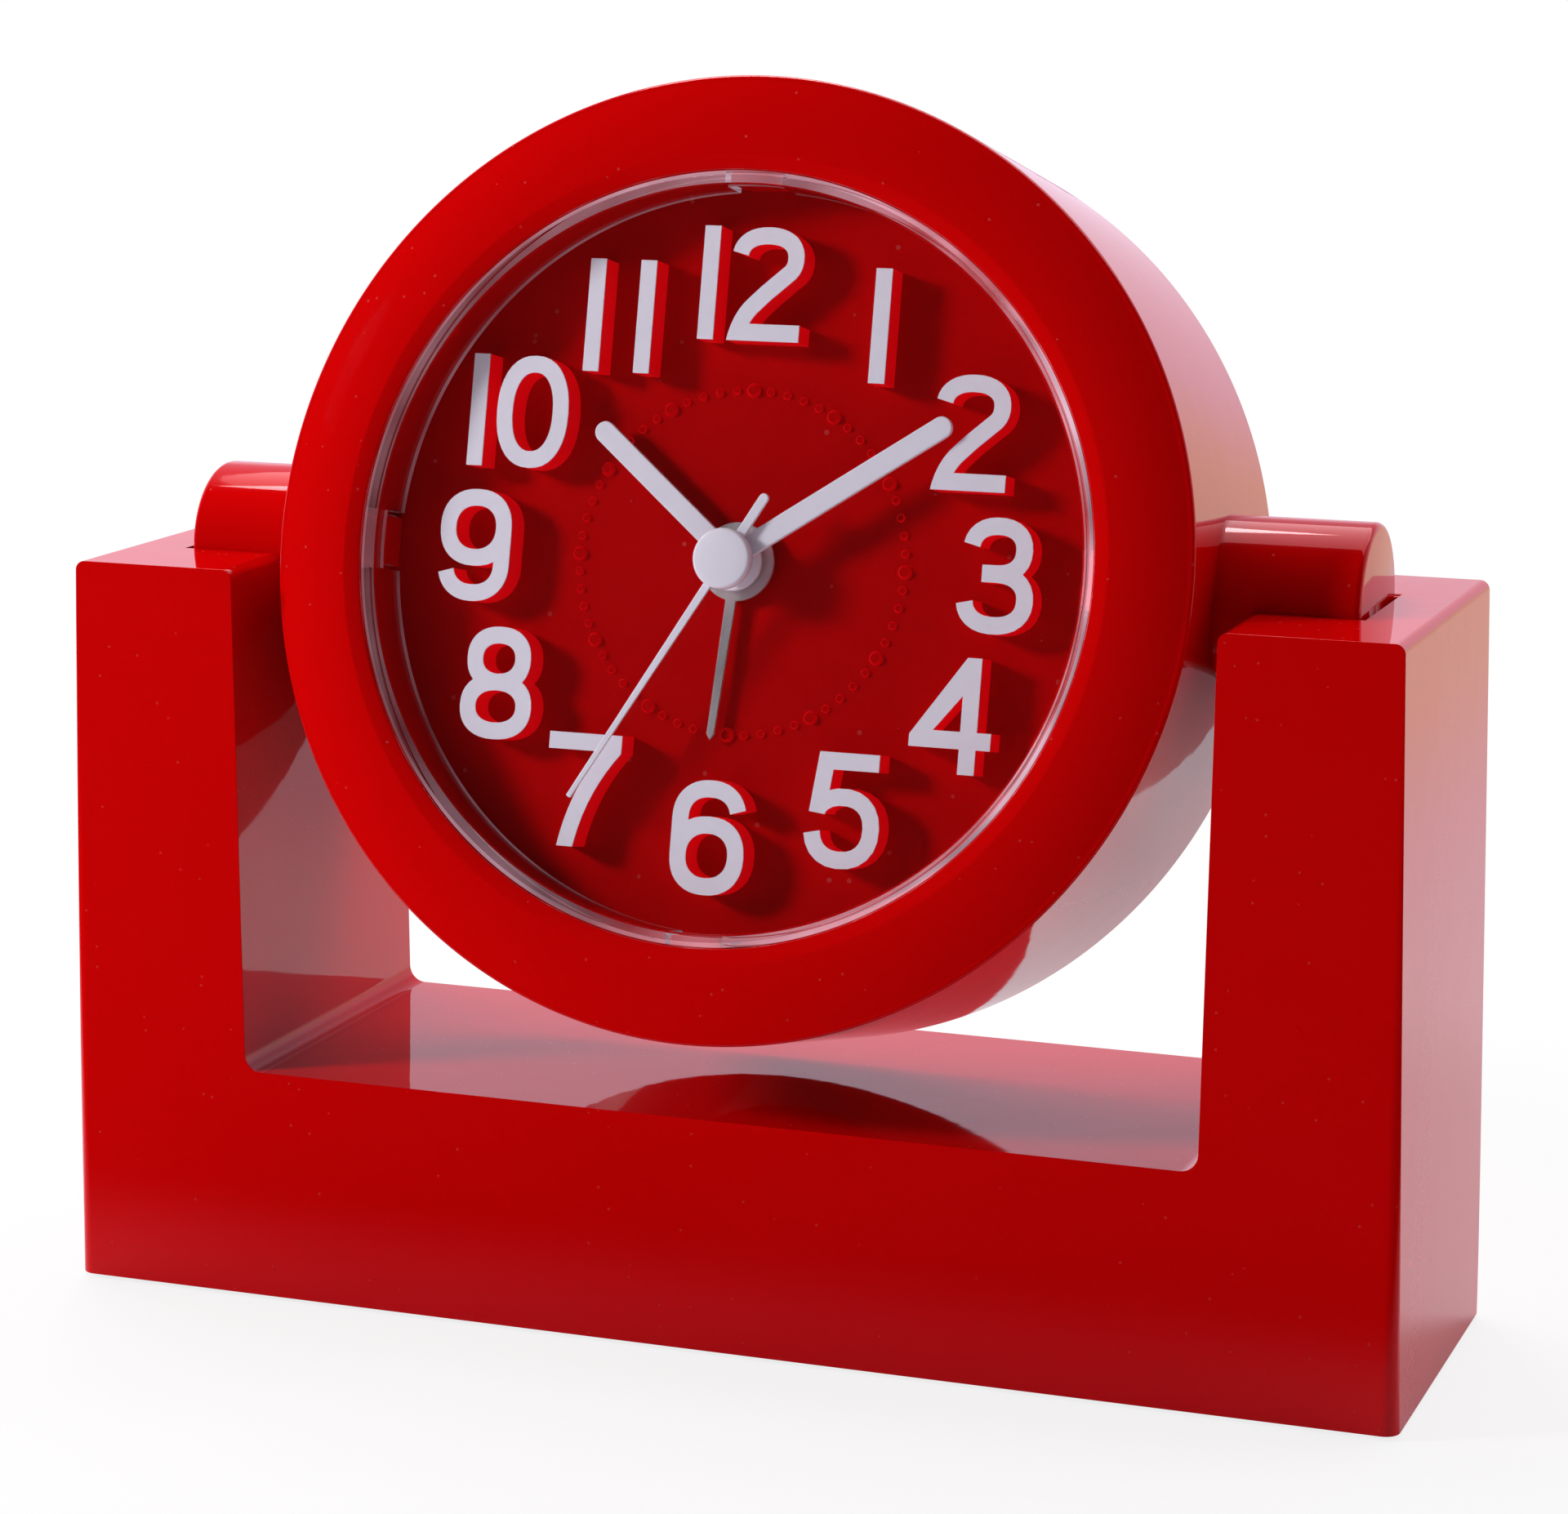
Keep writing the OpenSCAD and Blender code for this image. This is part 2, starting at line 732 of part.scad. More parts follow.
module drum_case() {
    back_post_z = cover_front;
    dial_post_z = dial_top;
    color(red)
        in_head()
            difference() {
                union() {
                    rotate_extrude($fn = 180) drum_section();
                    thirds(30)
                        translate([0, 0, back_post_z])
                            cylinder(d = boss_d, h = half_drum - drum_wall / 2 - back_post_z);
                    thirds(90)
                        translate([0, 0, dial_post_z])
                            cylinder(d = boss_d, h = half_drum - drum_wall / 2 - dial_post_z);
                    lens_keys(notch_w - 2 * key_gap, notch_h - key_gap, skirt_t);
                }
                thirds(30)
                    translate([0, 0, back_post_z - cut])
                        cylinder(r = screw_r + thread_gap, h = screw_hole + cut, $fn = 48);
                thirds(90)
                    translate([0, 0, dial_post_z - cut])
                        cylinder(r = screw_r + thread_gap, h = screw_hole + cut, $fn = 48);
                both_sides()
                    rotate([0, 90, 0]) {
                        translate([0, 0, screw_seat_x - 1])
                            cylinder(r = screw_head_r + fit, h = 1, $fn = 48);
                        translate([0, 0, screw_seat_x - cut])
                            cylinder(r = screw_r + fit, h = drum_wall + 2 * cut, $fn = 48);
                    }
            }
}

module trunnions() {
    end_r = 0.7;
    wall = 1.8;
    boss = 3;
    color(red)
        both_sides()
            translate([0, 0, axis_h])
                difference() {
                    union() {
                        difference() {
                            rotate([0, 90, 0])
                                rotate_extrude()
                                    polygon(concat(
                                        [[0, 0], [trunnion_r, 0]],
                                        arc([trunnion_r - end_r, trunnion_end_x - end_r],
                                            end_r, end_r, 0, 90, 5),
                                        [[0, trunnion_end_x]]
                                    ));
                            rotate([0, 90, 0])
                                translate([0, 0, -cut])
                                    cylinder(r = trunnion_r - wall, h = trunnion_end_x - wall + cut);
                        }
                        translate([drum_r - 2, 0, 0])
                            rotate([0, 90, 0])
                                cylinder(r = boss, h = trunnion_end_x - drum_r + 1);
                        translate([pivot_x, 0, -trunnion_r + wall / 2])
                            cylinder(r = boss, h = trunnion_r - wall / 2);
                    }
                    rotate([90 - rest_tilt, 0, 0])
                        translate([0, 0, -2 * trunnion_r])
                            cylinder(r = drum_r + press_gap, h = 4 * trunnion_r, $fn = 180);
                    rotate([0, 90, 0])
                        cylinder(r = screw_r + thread_gap, h = pivot_x - screw_stop, $fn = 48);
                    translate([pivot_x, 0, -trunnion_r - cut])
                        cylinder(
                            r = pivot_screw_r + thread_gap,
                            h = trunnion_r - pivot_stop + cut,
                            $fn = 48
                        );
                }
}

module trunnion_screws() {
    length = pivot_x - screw_stop - 2 * fit - screw_seat_x;
    color("silver")
        both_sides()
            translate([screw_seat_x - screw_head_t, 0, axis_h])
                rotate([0, 90, 0])
                    screw(screw_r, screw_head_r, screw_head_t, length);
}

module pivot_screws() {
    seat = pocket_r + saddle_wall + fit + washer_t;
    length = seat - pivot_stop - 2 * fit;
    color("silver")
        both_sides()
            translate([pivot_x, 0, axis_h - seat - pivot_head_t])
                screw(pivot_screw_r, pivot_head_r, pivot_head_t, length);
}

module friction_washers() {
    inner = pocket_r + saddle_wall + fit;
    span = 26;
    width = 6;
    color(spring_brass)
        both_sides()
            translate([pivot_x - width / 2, 0, axis_h])
                rotate([90, 0, 90])
                    difference() {
                        intersection() {
                            tube(inner + washer_t, inner, width);
                            linear_extrude(width)
                                polygon(concat(
                                    [[0, 0]],
                                    arc([0, 0], inner * 2, inner * 2, -90 - span, -90 + span, 4)
                                ));
                        }
                        translate([0, 0, width / 2])
                            rotate([90, 0, 0])
                                cylinder(r = pivot_screw_r + fit, h = inner * 2, $fn = 48);
                    }
}

module lens() {
    chamfer = 0.55;
    front = lens_back + lens_t;
    color([0.9, 0.95, 1, 0.35])
        in_head()
            difference() {
                rotate_extrude($fn = 180)
                    polygon([
                        [0, lens_back],
                        [lens_r - skirt_t, lens_back],
                        [lens_r - skirt_t, dial_top + 2 * fit],
                        [lens_r, dial_top + 2 * fit],
                        [lens_r, front - chamfer],
                        [lens_r - chamfer, front],
                        [0, front],
                    ]);
                for (i = [0:3])
                    rotate([0, 0, 90 * i])
                        translate([lens_r - skirt_t - cut, -notch_w / 2, dial_top])
                            cube([skirt_t + 2 * cut, notch_w, notch_h]);
            }
}

// Bar of a numeral between two corners
module bar(low, high) {
    translate(low) square(high - low);
}

// Line of the numeral's stroke along a path
module ribbon(path) {
    polygon(concat(beside(path, stroke / 2), backwards(beside(path, -stroke / 2))));
}

// Closed oval of the numeral's stroke
module oval(centre, rx, ry) {
    difference() {
        polygon(bow(centre, rx + stroke / 2, ry + stroke / 2, 0, 350, 35));
        polygon(bow(centre, rx - stroke / 2, ry - stroke / 2, 0, 350, 35));
    }
}

// One digit, centred. The strokes' middle lines reach mid_x sideways and mid_y up and down.
module digit(value) {
    mid_x = (digit_w - stroke) / 2;
    mid_y = (digit_h - stroke) / 2;
    half_h = digit_h / 2;
    half_w = digit_w / 2;
    half_s = stroke / 2;
    if (value == 0)
        oval([0, 0], mid_x, mid_y);
    if (value == 1)
        bar([-half_s, -half_h], [half_s, half_h]);
    if (value == 2) {
        intersection() {
            ribbon(concat(
                bow([mid_x * 0.03, mid_y * 0.54], mid_x * 0.97, mid_y * 0.46, 172, -36),
                [[mid_x * 0.04, -mid_y * 0.19]],
                curve([-mid_x * 0.3, -mid_y * 0.4], [-mid_x, -mid_y * 0.8], [-mid_x, -digit_h * 0.7], 8)
            ));
            bar([-half_w, -half_h], [half_w, half_h]);
        }
        bar([-mid_x, -half_h], [half_w, -half_h + stroke]);
    }
    if (value == 3) {
        ribbon(bow([0, mid_y * 0.52], mid_x * 0.88, mid_y * 0.48, 172, -90));
        ribbon(bow([0, -mid_y * 0.48], mid_x, mid_y * 0.52, 90, -174));
        bar([-mid_x * 0.48, mid_y * 0.04 - half_s], [half_s, mid_y * 0.04 + half_s]);
    }
    if (value == 4) {
        foot = -half_h + stroke * 1.45;
        stem = half_w - stroke * 0.55;
        difference() {
            polygon([
                [-half_w, foot],
                [-half_w, foot + stroke * 0.7],
                [stem - stroke * 0.86, half_h],
                [stem, half_h],
                [stem, foot],
            ]);
            polygon([
                [-half_w + stroke * 1.4, foot + stroke],
                [stem - stroke, foot + stroke],
                [stem - stroke, half_h - stroke * 2.2],
            ]);
        }
        bar([stem - stroke, -half_h], [stem, foot + half_s]);
        bar([stem - half_s, foot], [half_w + stroke * 0.3, foot + stroke]);
    }
    if (value == 5) {
        bar([-mid_x * 0.6, half_h - stroke], [half_w * 0.88, half_h]);
        intersection() {
            ribbon([[-mid_x * 0.56, half_h + stroke], [-mid_x * 0.86, -mid_y * 0.07]]);
            bar([-half_w, -half_h], [half_w, half_h]);
        }
        ribbon(bow([0, -mid_y * 0.36], mid_x, mid_y * 0.64, 146, -173));
    }
    if (value == 6 || value == 9)
        rotate([0, 0, value == 9 ? 180 : 0]) {
            oval([0, -mid_y * 0.37], mid_x, mid_y * 0.63);
            ribbon(concat(
                bow([0, mid_y * 0.38], mid_x, mid_y * 0.62, 14, 180),
                [[-mid_x, -mid_y * 0.37]]
            ));
        }
    if (value == 7) {
        bar([-half_w, half_h - stroke], [half_w, half_h]);
        intersection() {
            ribbon(curve([mid_x * 1.07, mid_y * 0.92], [-mid_x * 0.3, -mid_y * 0.1],
                [-mid_x * 0.55, -half_h - stroke]));
            bar([-half_w, -half_h], [half_w, half_h]);
        }
    }
    if (value == 8) {
        oval([0, mid_y * 0.51], mid_x * 0.86, mid_y * 0.49);
        oval([0, -mid_y * 0.49], mid_x, mid_y * 0.51);
    }
}

// One number of the dial, centred on its middle. A one takes only the width of its bar.
module number(value) {
    tens = floor(value / 10);
    units = value % 10;
    step = units == 1 ? stroke * 3.2 : (digit_w + stroke) / 2 + stroke * 0.72;
    if (tens == 0)
        digit(units);
    else {
        whole = step + stroke / 2 + (units == 1 ? stroke : digit_w) / 2;
        translate([stroke / 2 - whole / 2, 0]) digit(1);
        translate([stroke / 2 - whole / 2 + step, 0]) digit(units);
    }
}

// All twelve numbers round the dial, upright
module numbers() {
    clean = 0.1;
    offset(delta = clean)
        offset(delta = -clean)
            for (hour = [1:hours])
                translate(along(ring_r, 90 - hour * 360 / hours))
                    number(hour);
}

module dial() {
    color(dial_red)
        in_head()
            difference() {
                union() {
                    translate([0, 0, dial_back]) cylinder(r = dial_r, h = dial_t, $fn = 180);
                    thirds(90)
                        translate([0, 0, dial_back])
                            linear_extrude(dial_t) {
                                circle(d = dial_ear_w);
                                translate([-boss_d, -dial_ear_w / 2]) square([boss_d, dial_ear_w]);
                            }
                    translate([0, 0, dial_top - lap])
                        linear_extrude(relief_h - face_t + lap) numbers();
                    for (i = [0:beads - 1])
                        rotate([0, 0, i * 360 / beads])
                            translate([bead_ring_r, 0, dial_top - lap])
                                bead(i % (beads / hours) == 0 ? 0.8 : 0.5);
                    for (x = post_x, y = post_y)
                        translate([x, y, case_split])
                            cylinder(r = ear_r, h = dial_back - case_split + dial_t / 2);
                }
                translate([0, 0, dial_back - cut])
                    cylinder(r = dial_hole_r, h = dial_t + 2 * cut);
                thirds(90)
                    translate([0, 0, dial_back - cut])
                        cylinder(r = screw_r + fit, h = dial_t + 2 * cut, $fn = 48);
                for (x = post_x, y = post_y)
                    translate([x, y, case_split - cut])
                        cylinder(r = screw_r + thread_gap, h = dial_back - case_split + cut, $fn = 48);
            }
}

// A low round bead of the minute ring
module bead(radius) {
    cylinder(r1 = radius, r2 = radius * 0.6, h = radius * 0.6 + lap, $fn = 24);
}

module dial_screws() {
    color("silver")
        in_head()
            thirds(90)
                translate([0, 0, dial_back - screw_head_t])
                    screw(screw_r, screw_head_r, screw_head_t, dial_t + screw_bite);
}

module numeral_faces() {
    color(white)
        in_head()
            translate([0, 0, dial_top + relief_h - face_t])
                linear_extrude(face_t) numbers();
}

// Flat hand that points to 12: a bar with round ends from its hub, with a bore for its pipe
module round_hand(length, width, height, hub_r, bore_radius) {
    difference() {
        union() {
            cylinder(r = hub_r, h = height);
            translate([-width / 2, 0, 0]) cube([width, length - width / 2, height]);
            translate([0, length - width / 2, 0]) cylinder(d = width, h = height);
        }
        translate([0, 0, -cut]) cylinder(r = bore_radius, h = height + 2 * cut);
    }
}

module alarm_hand() {
    hub_r = alarm_pipe_r + 1.2;
    tip_w = 0.8;
    root_w = 1.2;
    color([0.78, 0.78, 0.8])
        in_head()
            translate([0, 0, alarm_z])
                rotate([0, 0, -alarm_turn])
                    difference() {
                        union() {
                            cylinder(r = hub_r, h = alarm_hand_t);
                            linear_extrude(alarm_hand_t)
                                polygon([
                                    [-root_w / 2, 0],
                                    [root_w / 2, 0],
                                    [tip_w / 2, alarm_l - 0.6],
                                    [0, alarm_l],
                                    [-tip_w / 2, alarm_l - 0.6],
                                ]);
                        }
                        translate([0, 0, -cut])
                            cylinder(r = alarm_pipe_r + press_gap, h = alarm_hand_t + 2 * cut);
                    }
}

module alarm_wheel() {
    top = alarm_z + alarm_hand_t;
    color(ivory)
        in_head()
            translate([0, 0, alarm_wheel_z]) {
                gear(alarm_teeth, alarm_module, wheel_t, alarm_bore_r);
                tube(alarm_pipe_r, alarm_bore_r, top - alarm_wheel_z);
            }
}

module hour_hand() {
    color(white)
        in_head()
            translate([0, 0, hour_z])
                rotate([0, 0, -hour_turn])
                    round_hand(hour_l, hand_w, hand_t, hour_pipe_r + 1, hour_pipe_r + press_gap);
}

module hour_wheel() {
    top = hour_z + hand_t;
    color(ivory)
        in_head()
            translate([0, 0, hour_wheel_z]) {
                gear(hour_teeth, hour_module, wheel_t, hour_bore_r, hour_wheel_turn);
                tube(hour_pipe_r, hour_bore_r, top - hour_wheel_z);
            }
}

module minute_hand() {
    color(white)
        in_head()
            translate([0, 0, minute_z])
                rotate([0, 0, -minute_turn])
                    round_hand(minute_l, hand_w, hand_t, minute_pipe_r + 1, minute_pipe_r + press_gap);
}

// Pinion of the motion work on the pipe that carries the minute hand
module minute_pinion() {
    top = minute_z + hand_t;
    start = centre_wheel_z;
    color([0.85, 0.82, 0.7])
        in_head() {
            translate([0, 0, motion_wheel_z])
                gear(minute_pinion_teeth, motion_module, wheel_t, minute_bore_r);
            translate([0, 0, start]) tube(minute_pipe_r, minute_bore_r, top - start);
        }
}

module second_hand() {
    root_w = 0.85;
    tip_w = 0.5;
    tail_w = 1;
    hub_r = 1.6;
    color(white)
        in_head()
            translate([0, 0, second_z])
                rotate([0, 0, -second_turn])
                    difference() {
                        union() {
                            cylinder(r = hub_r, h = second_hand_t);
                            linear_extrude(second_hand_t)
                                polygon([
                                    [-root_w / 2, 0],
                                    [root_w / 2, 0],
                                    [tip_w / 2, second_l],
                                    [-tip_w / 2, second_l],
                                ]);
                            translate([-tail_w / 2, tail_w / 2 - second_tail, 0])
                                cube([tail_w, second_tail - tail_w / 2, second_hand_t]);
                            translate([0, tail_w / 2 - second_tail, 0])
                                cylinder(d = tail_w, h = second_hand_t, $fn = 48);
                        }
                        translate([0, 0, -cut])
                            cylinder(r = second_shaft_r + press_gap, h = second_hand_t + 2 * cut, $fn = 48);
                    }
}

module hand_cap() {
    edge_r = 0.35;
    color(white)
        in_head()
            translate([0, 0, second_z + second_hand_t])
                rotate_extrude()
                    polygon(concat(
                        [
                            [0, cap_t / 2],
                            [second_shaft_r + press_gap, cap_t / 2],
                            [second_shaft_r + press_gap, 0],
                            [cap_d / 2, 0],
                        ],
                        arc([cap_d / 2 - edge_r, cap_t - edge_r], edge_r, edge_r, 0, 90, 4),
                        [[0, cap_t]]
                    ));
}

module second_wheel() {
    top = second_z + second_hand_t + cap_t * 0.45;
    start = back_plate_front - shaft_in;
    pinion_top = third_wheel_z + wheel_t;
    color(ivory)
        in_head() {
            translate([0, 0, second_wheel_z]) gear(second_teeth, second_module, wheel_t);
            translate([0, 0, second_wheel_z + wheel_t / 2])
                gear(second_pinion_teeth, third_module, pinion_top - second_wheel_z - wheel_t / 2);
            translate([0, 0, start]) cylinder(r = second_shaft_r, h = top - start, $fn = 48);
        }
}

// Plan of the movement case, less an amount all round
module case_plan(less = 0) {
    translate([case_left + less, case_low + less])
        square([case_right - case_left - 2 * less, case_high - case_low - 2 * less]);
}

// A bearing hole at an axis
module bearing_hole(at, start, depth, radius = arbor_r) {
    translate([at[0], at[1], start])
        cylinder(r = radius + bearing_gap, h = depth, $fn = 48);
}

module movement_front_case() {
    blind = front_plate_back - cut;
    color(case_white)
        in_head()
            difference() {
                translate([0, 0, case_split])
                    linear_extrude(dial_back - case_split) case_plan();
                translate([0, 0, case_split - cut])
                    linear_extrude(front_plate_back - case_split + cut) case_plan(case_wall);
                translate([0, 0, blind]) cylinder(r = alarm_pipe_r + bearing_gap, h = plate_t + 2 * cut);
                bearing_hole(third_at, blind, bearing_depth + cut);
                for (at = [time_at, alarm_at])
                    bearing_hole(at, blind, bearing_depth + cut, knob_shaft_r);
            }
}

module middle_plate() {
    color(case_white)
        in_head()
            difference() {
                union() {
                    translate([0, 0, middle_back])
                        linear_extrude(middle_top - middle_back) case_plan(case_wall + fit);
                    translate([motion_at[0], motion_at[1], middle_back])
                        cylinder(r = stud_r, h = stud_top - middle_back, $fn = 48);
                }
                bearing_hole([0, 0], middle_back - cut, plate_t + 2 * cut, second_shaft_r);
                bearing_hole(third_at, middle_back - cut, plate_t + 2 * cut, third_module * 5.6);
                for (at = [fifth_at, rotor_at])
                    bearing_hole(at, middle_back - cut, middle_in + fit + cut);
                for (at = [time_at, alarm_at])
                    bearing_hole(at, middle_back - cut, plate_t + 2 * cut, knob_shaft_r);
            }
}

module movement_back_case() {
    color(case_white)
        in_head()
            difference() {
                union() {
                    translate([0, 0, back_plate_back])
                        linear_extrude(case_split - back_plate_back) case_plan();
                    for (x = [0, 1], y = post_y)
                        translate([post_x[x], y, case_split - plate_t]) {
                            cylinder(r = ear_r, h = plate_t);
                            translate([x == 0 ? 0 : -ear_r - 1, -ear_r, 0])
                                cube([ear_r + 1, 2 * ear_r, plate_t]);
                        }
                }
                translate([0, 0, back_plate_front])
                    linear_extrude(case_split - back_plate_front + cut) case_plan(case_wall);
                bearing_hole([0, 0], back_plate_front - bearing_depth, bearing_depth + cut, second_shaft_r);
                for (at = [third_at, fifth_at, rotor_at])
                    bearing_hole(at, back_plate_front - bearing_depth, bearing_depth + cut);
                for (at = [time_at, alarm_at])
                    bearing_hole(at, back_plate_back - cut, plate_t + 2 * cut, knob_shaft_r);
                for (x = post_x, y = post_y)
                    translate([x, y, case_split - plate_t - cut])
                        cylinder(r = screw_r + fit, h = plate_t + 2 * cut, $fn = 48);
            }
}

module movement_screws() {
    color("silver")
        in_head()
            for (x = post_x, y = post_y)
                translate([x, y, case_split - plate_t - screw_head_t])
                    screw(screw_r, screw_head_r, screw_head_t, plate_t + screw_bite);
}

// Wheel with the slipping clutch that lets the minute hand be set
module centre_wheel() {
    color(ivory)
        in_head()
            translate([0, 0, centre_wheel_z])
                gear(centre_teeth, centre_module, wheel_t, minute_pipe_r + bearing_gap, centre_turn);
}

module third_wheel() {
    start = back_plate_front - shaft_in;
    color(ivory)
        in_head()
            translate(third_at) {
                translate([0, 0, third_wheel_z])
                    gear(third_teeth, third_module, wheel_t, 0, third_turn);
                translate([0, 0, third_wheel_z + wheel_t / 2])
                    gear(third_pinion_teeth, centre_module,
                        centre_wheel_z + wheel_t + lap - third_wheel_z - wheel_t / 2, 0, third_turn);
                translate([0, 0, start])
                    cylinder(r = arbor_r, h = front_plate_back + shaft_in - start, $fn = 48);
            }
}

module fifth_wheel() {
    start = back_plate_front - shaft_in;
    color(ivory)
        in_head()
            translate(fifth_at) {
                translate([0, 0, fifth_wheel_z])
                    gear(fifth_teeth, fifth_module, wheel_t, 0, fifth_turn);
                translate([0, 0, fifth_wheel_z + wheel_t / 2])
                    gear(fifth_pinion_teeth, second_module,
                        second_wheel_z + wheel_t + lap - fifth_wheel_z - wheel_t / 2, 0, fifth_turn);
                translate([0, 0, start])
                    cylinder(r = arbor_r, h = middle_back + middle_in - start, $fn = 48);
            }
}

module rotor() {
    start = back_plate_front - shaft_in;
    magnet_z = stator_z + stator_t / 2 - magnet_t / 2;
    color([0.35, 0.35, 0.38])
        in_head()
            translate(rotor_at) {
                translate([0, 0, rotor_pinion_z])
                    gear(rotor_teeth, fifth_module, magnet_z - rotor_pinion_z + lap, 0, rotor_turn);
                translate([0, 0, magnet_z]) cylinder(r = magnet_r, h = magnet_t);
                translate([0, 0, start])
                    cylinder(r = arbor_r, h = middle_back + middle_in - start, $fn = 48);
            }
}

module motion_wheel() {
    color(ivory)
        in_head()
            translate(motion_at) {
                translate([0, 0, motion_wheel_z])
                    gear(motion_teeth, motion_module, wheel_t, stud_r + bearing_gap, motion_turn);
                translate([0, 0, motion_wheel_z + wheel_t])
                    gear(motion_pinion_teeth, hour_module, stud_top - motion_wheel_z - wheel_t,
                        stud_r + bearing_gap, motion_turn);
            }
}

// Iron plate round the rotor, with a leg to each end of the coil
module stator() {
    ring_r = stator_hole_r + 1.3;
    leg_w = 2.6;
    color(iron)
        in_head()
            translate([0, 0, stator_z])
                difference() {
                    linear_extrude(stator_t) {
                        translate(rotor_at) circle(r = ring_r, $fn = 60);
                        for (end = [coil_low, coil_high]) {
                            hull() {
                                translate(rotor_at + [0, sign(end - rotor_at[1]) * 2])
                                    circle(r = leg_w / 2, $fn = 24);
                                translate([coil_x - 4, end]) circle(r = leg_w / 2, $fn = 24);
                            }
                            translate([coil_x - 4, end - leg_w / 2]) square([4 + leg_w / 2, leg_w]);
                        }
                    }
                    translate([rotor_at[0], rotor_at[1], -cut])
                        cylinder(r = stator_hole_r, h = stator_t + 2 * cut);
                }
}

module coil_core() {
    color(iron)
        in_head()
            translate([coil_x - core_w / 2, coil_low - 1.3, core_z])
                cube([core_w, coil_high - coil_low + 2.6, core_t]);
}

// Spool on the core, with a flange at each end
module coil_bobbin() {
    length = coil_high - coil_low - 2 * flange_inset;
    color([0.1, 0.35, 0.15])
        in_head()
            translate([coil_x, coil_low + flange_inset, core_z + core_t / 2])
                rotate([-90, 0, 0])
                    difference() {
                        union() {
                            cylinder(r = sleeve_r, h = length);
                            cylinder(r = coil_r, h = flange_t);
                            translate([0, 0, length - flange_t]) cylinder(r = coil_r, h = flange_t);
                        }
                        translate([-core_w / 2 - thread_gap, -core_t / 2 - thread_gap, -cut])
                            cube([core_w + 2 * thread_gap, core_t + 2 * thread_gap, length + 2 * cut]);
                    }
}

module coil_winding() {
    length = coil_high - coil_low - 2 * (flange_inset + flange_t);
    color([0.75, 0.4, 0.15])
        in_head()
            translate([coil_x, coil_low + flange_inset + flange_t, core_z + core_t / 2])
                rotate([-90, 0, 0])
                    tube(coil_r - fit, sleeve_r, length);
}

module circuit_board() {
    board_right = case_right - case_wall - fit;
    color([0.1, 0.4, 0.2])
        in_head()
            difference() {
                translate([board_left, board_low, board_z])
                    cube([board_right - board_left, board_w, board_t]);
                translate([alarm_at[0], alarm_at[1], board_z - cut])
                    cylinder(r = knob_shaft_r + 0.6, h = board_t + 2 * cut, $fn = 48);
            }
}

// Metal can that lies on the board
module quartz_crystal() {
    can_r = 0.9;
    can_l = 5.5;
    color([0.8, 0.8, 0.82])
        in_head()
            translate([case_right - case_wall - 1.5, board_low + 1.4, board_z + board_t + can_r])
                rotate([0, -90, 0])
                    cylinder(r = can_r, h = can_l, $fn = 48);
}

// Drop of black resin over the control chip
module control_chip() {
    drop_r = 4;
    drop_h = 0.9;
    color([0.05, 0.05, 0.05])
        in_head()
            translate([chip_at[0], chip_at[1], board_z + board_t])
                intersection() {
                    translate([0, 0, drop_h - drop_r]) sphere(r = drop_r);
                    cylinder(r = drop_r, h = drop_h);
                }
}

// Spring strip that the alarm's release closes under the hour wheel
module alarm_contact() {
    strip_w = 1.5;
    strip_z = hour_wheel_z - contact_t - move_gap - lap;
    reach = 5;
    foot_x = 11.5;
    color(spring_brass)
        in_head() {
            translate([foot_x, -strip_w / 2, middle_top])
                cube([strip_w, strip_w, strip_z + contact_t - middle_top]);
            translate([reach, -strip_w / 2, strip_z])
                cube([foot_x + strip_w - reach, strip_w, contact_t]);
        }
}

// Outline of the battery door, grown by an amount all round
module door_plan(more = 0) {
    translate([0, bay_y])
        square(2 * [door_half_l + more, door_half_w + more], center = true);
}

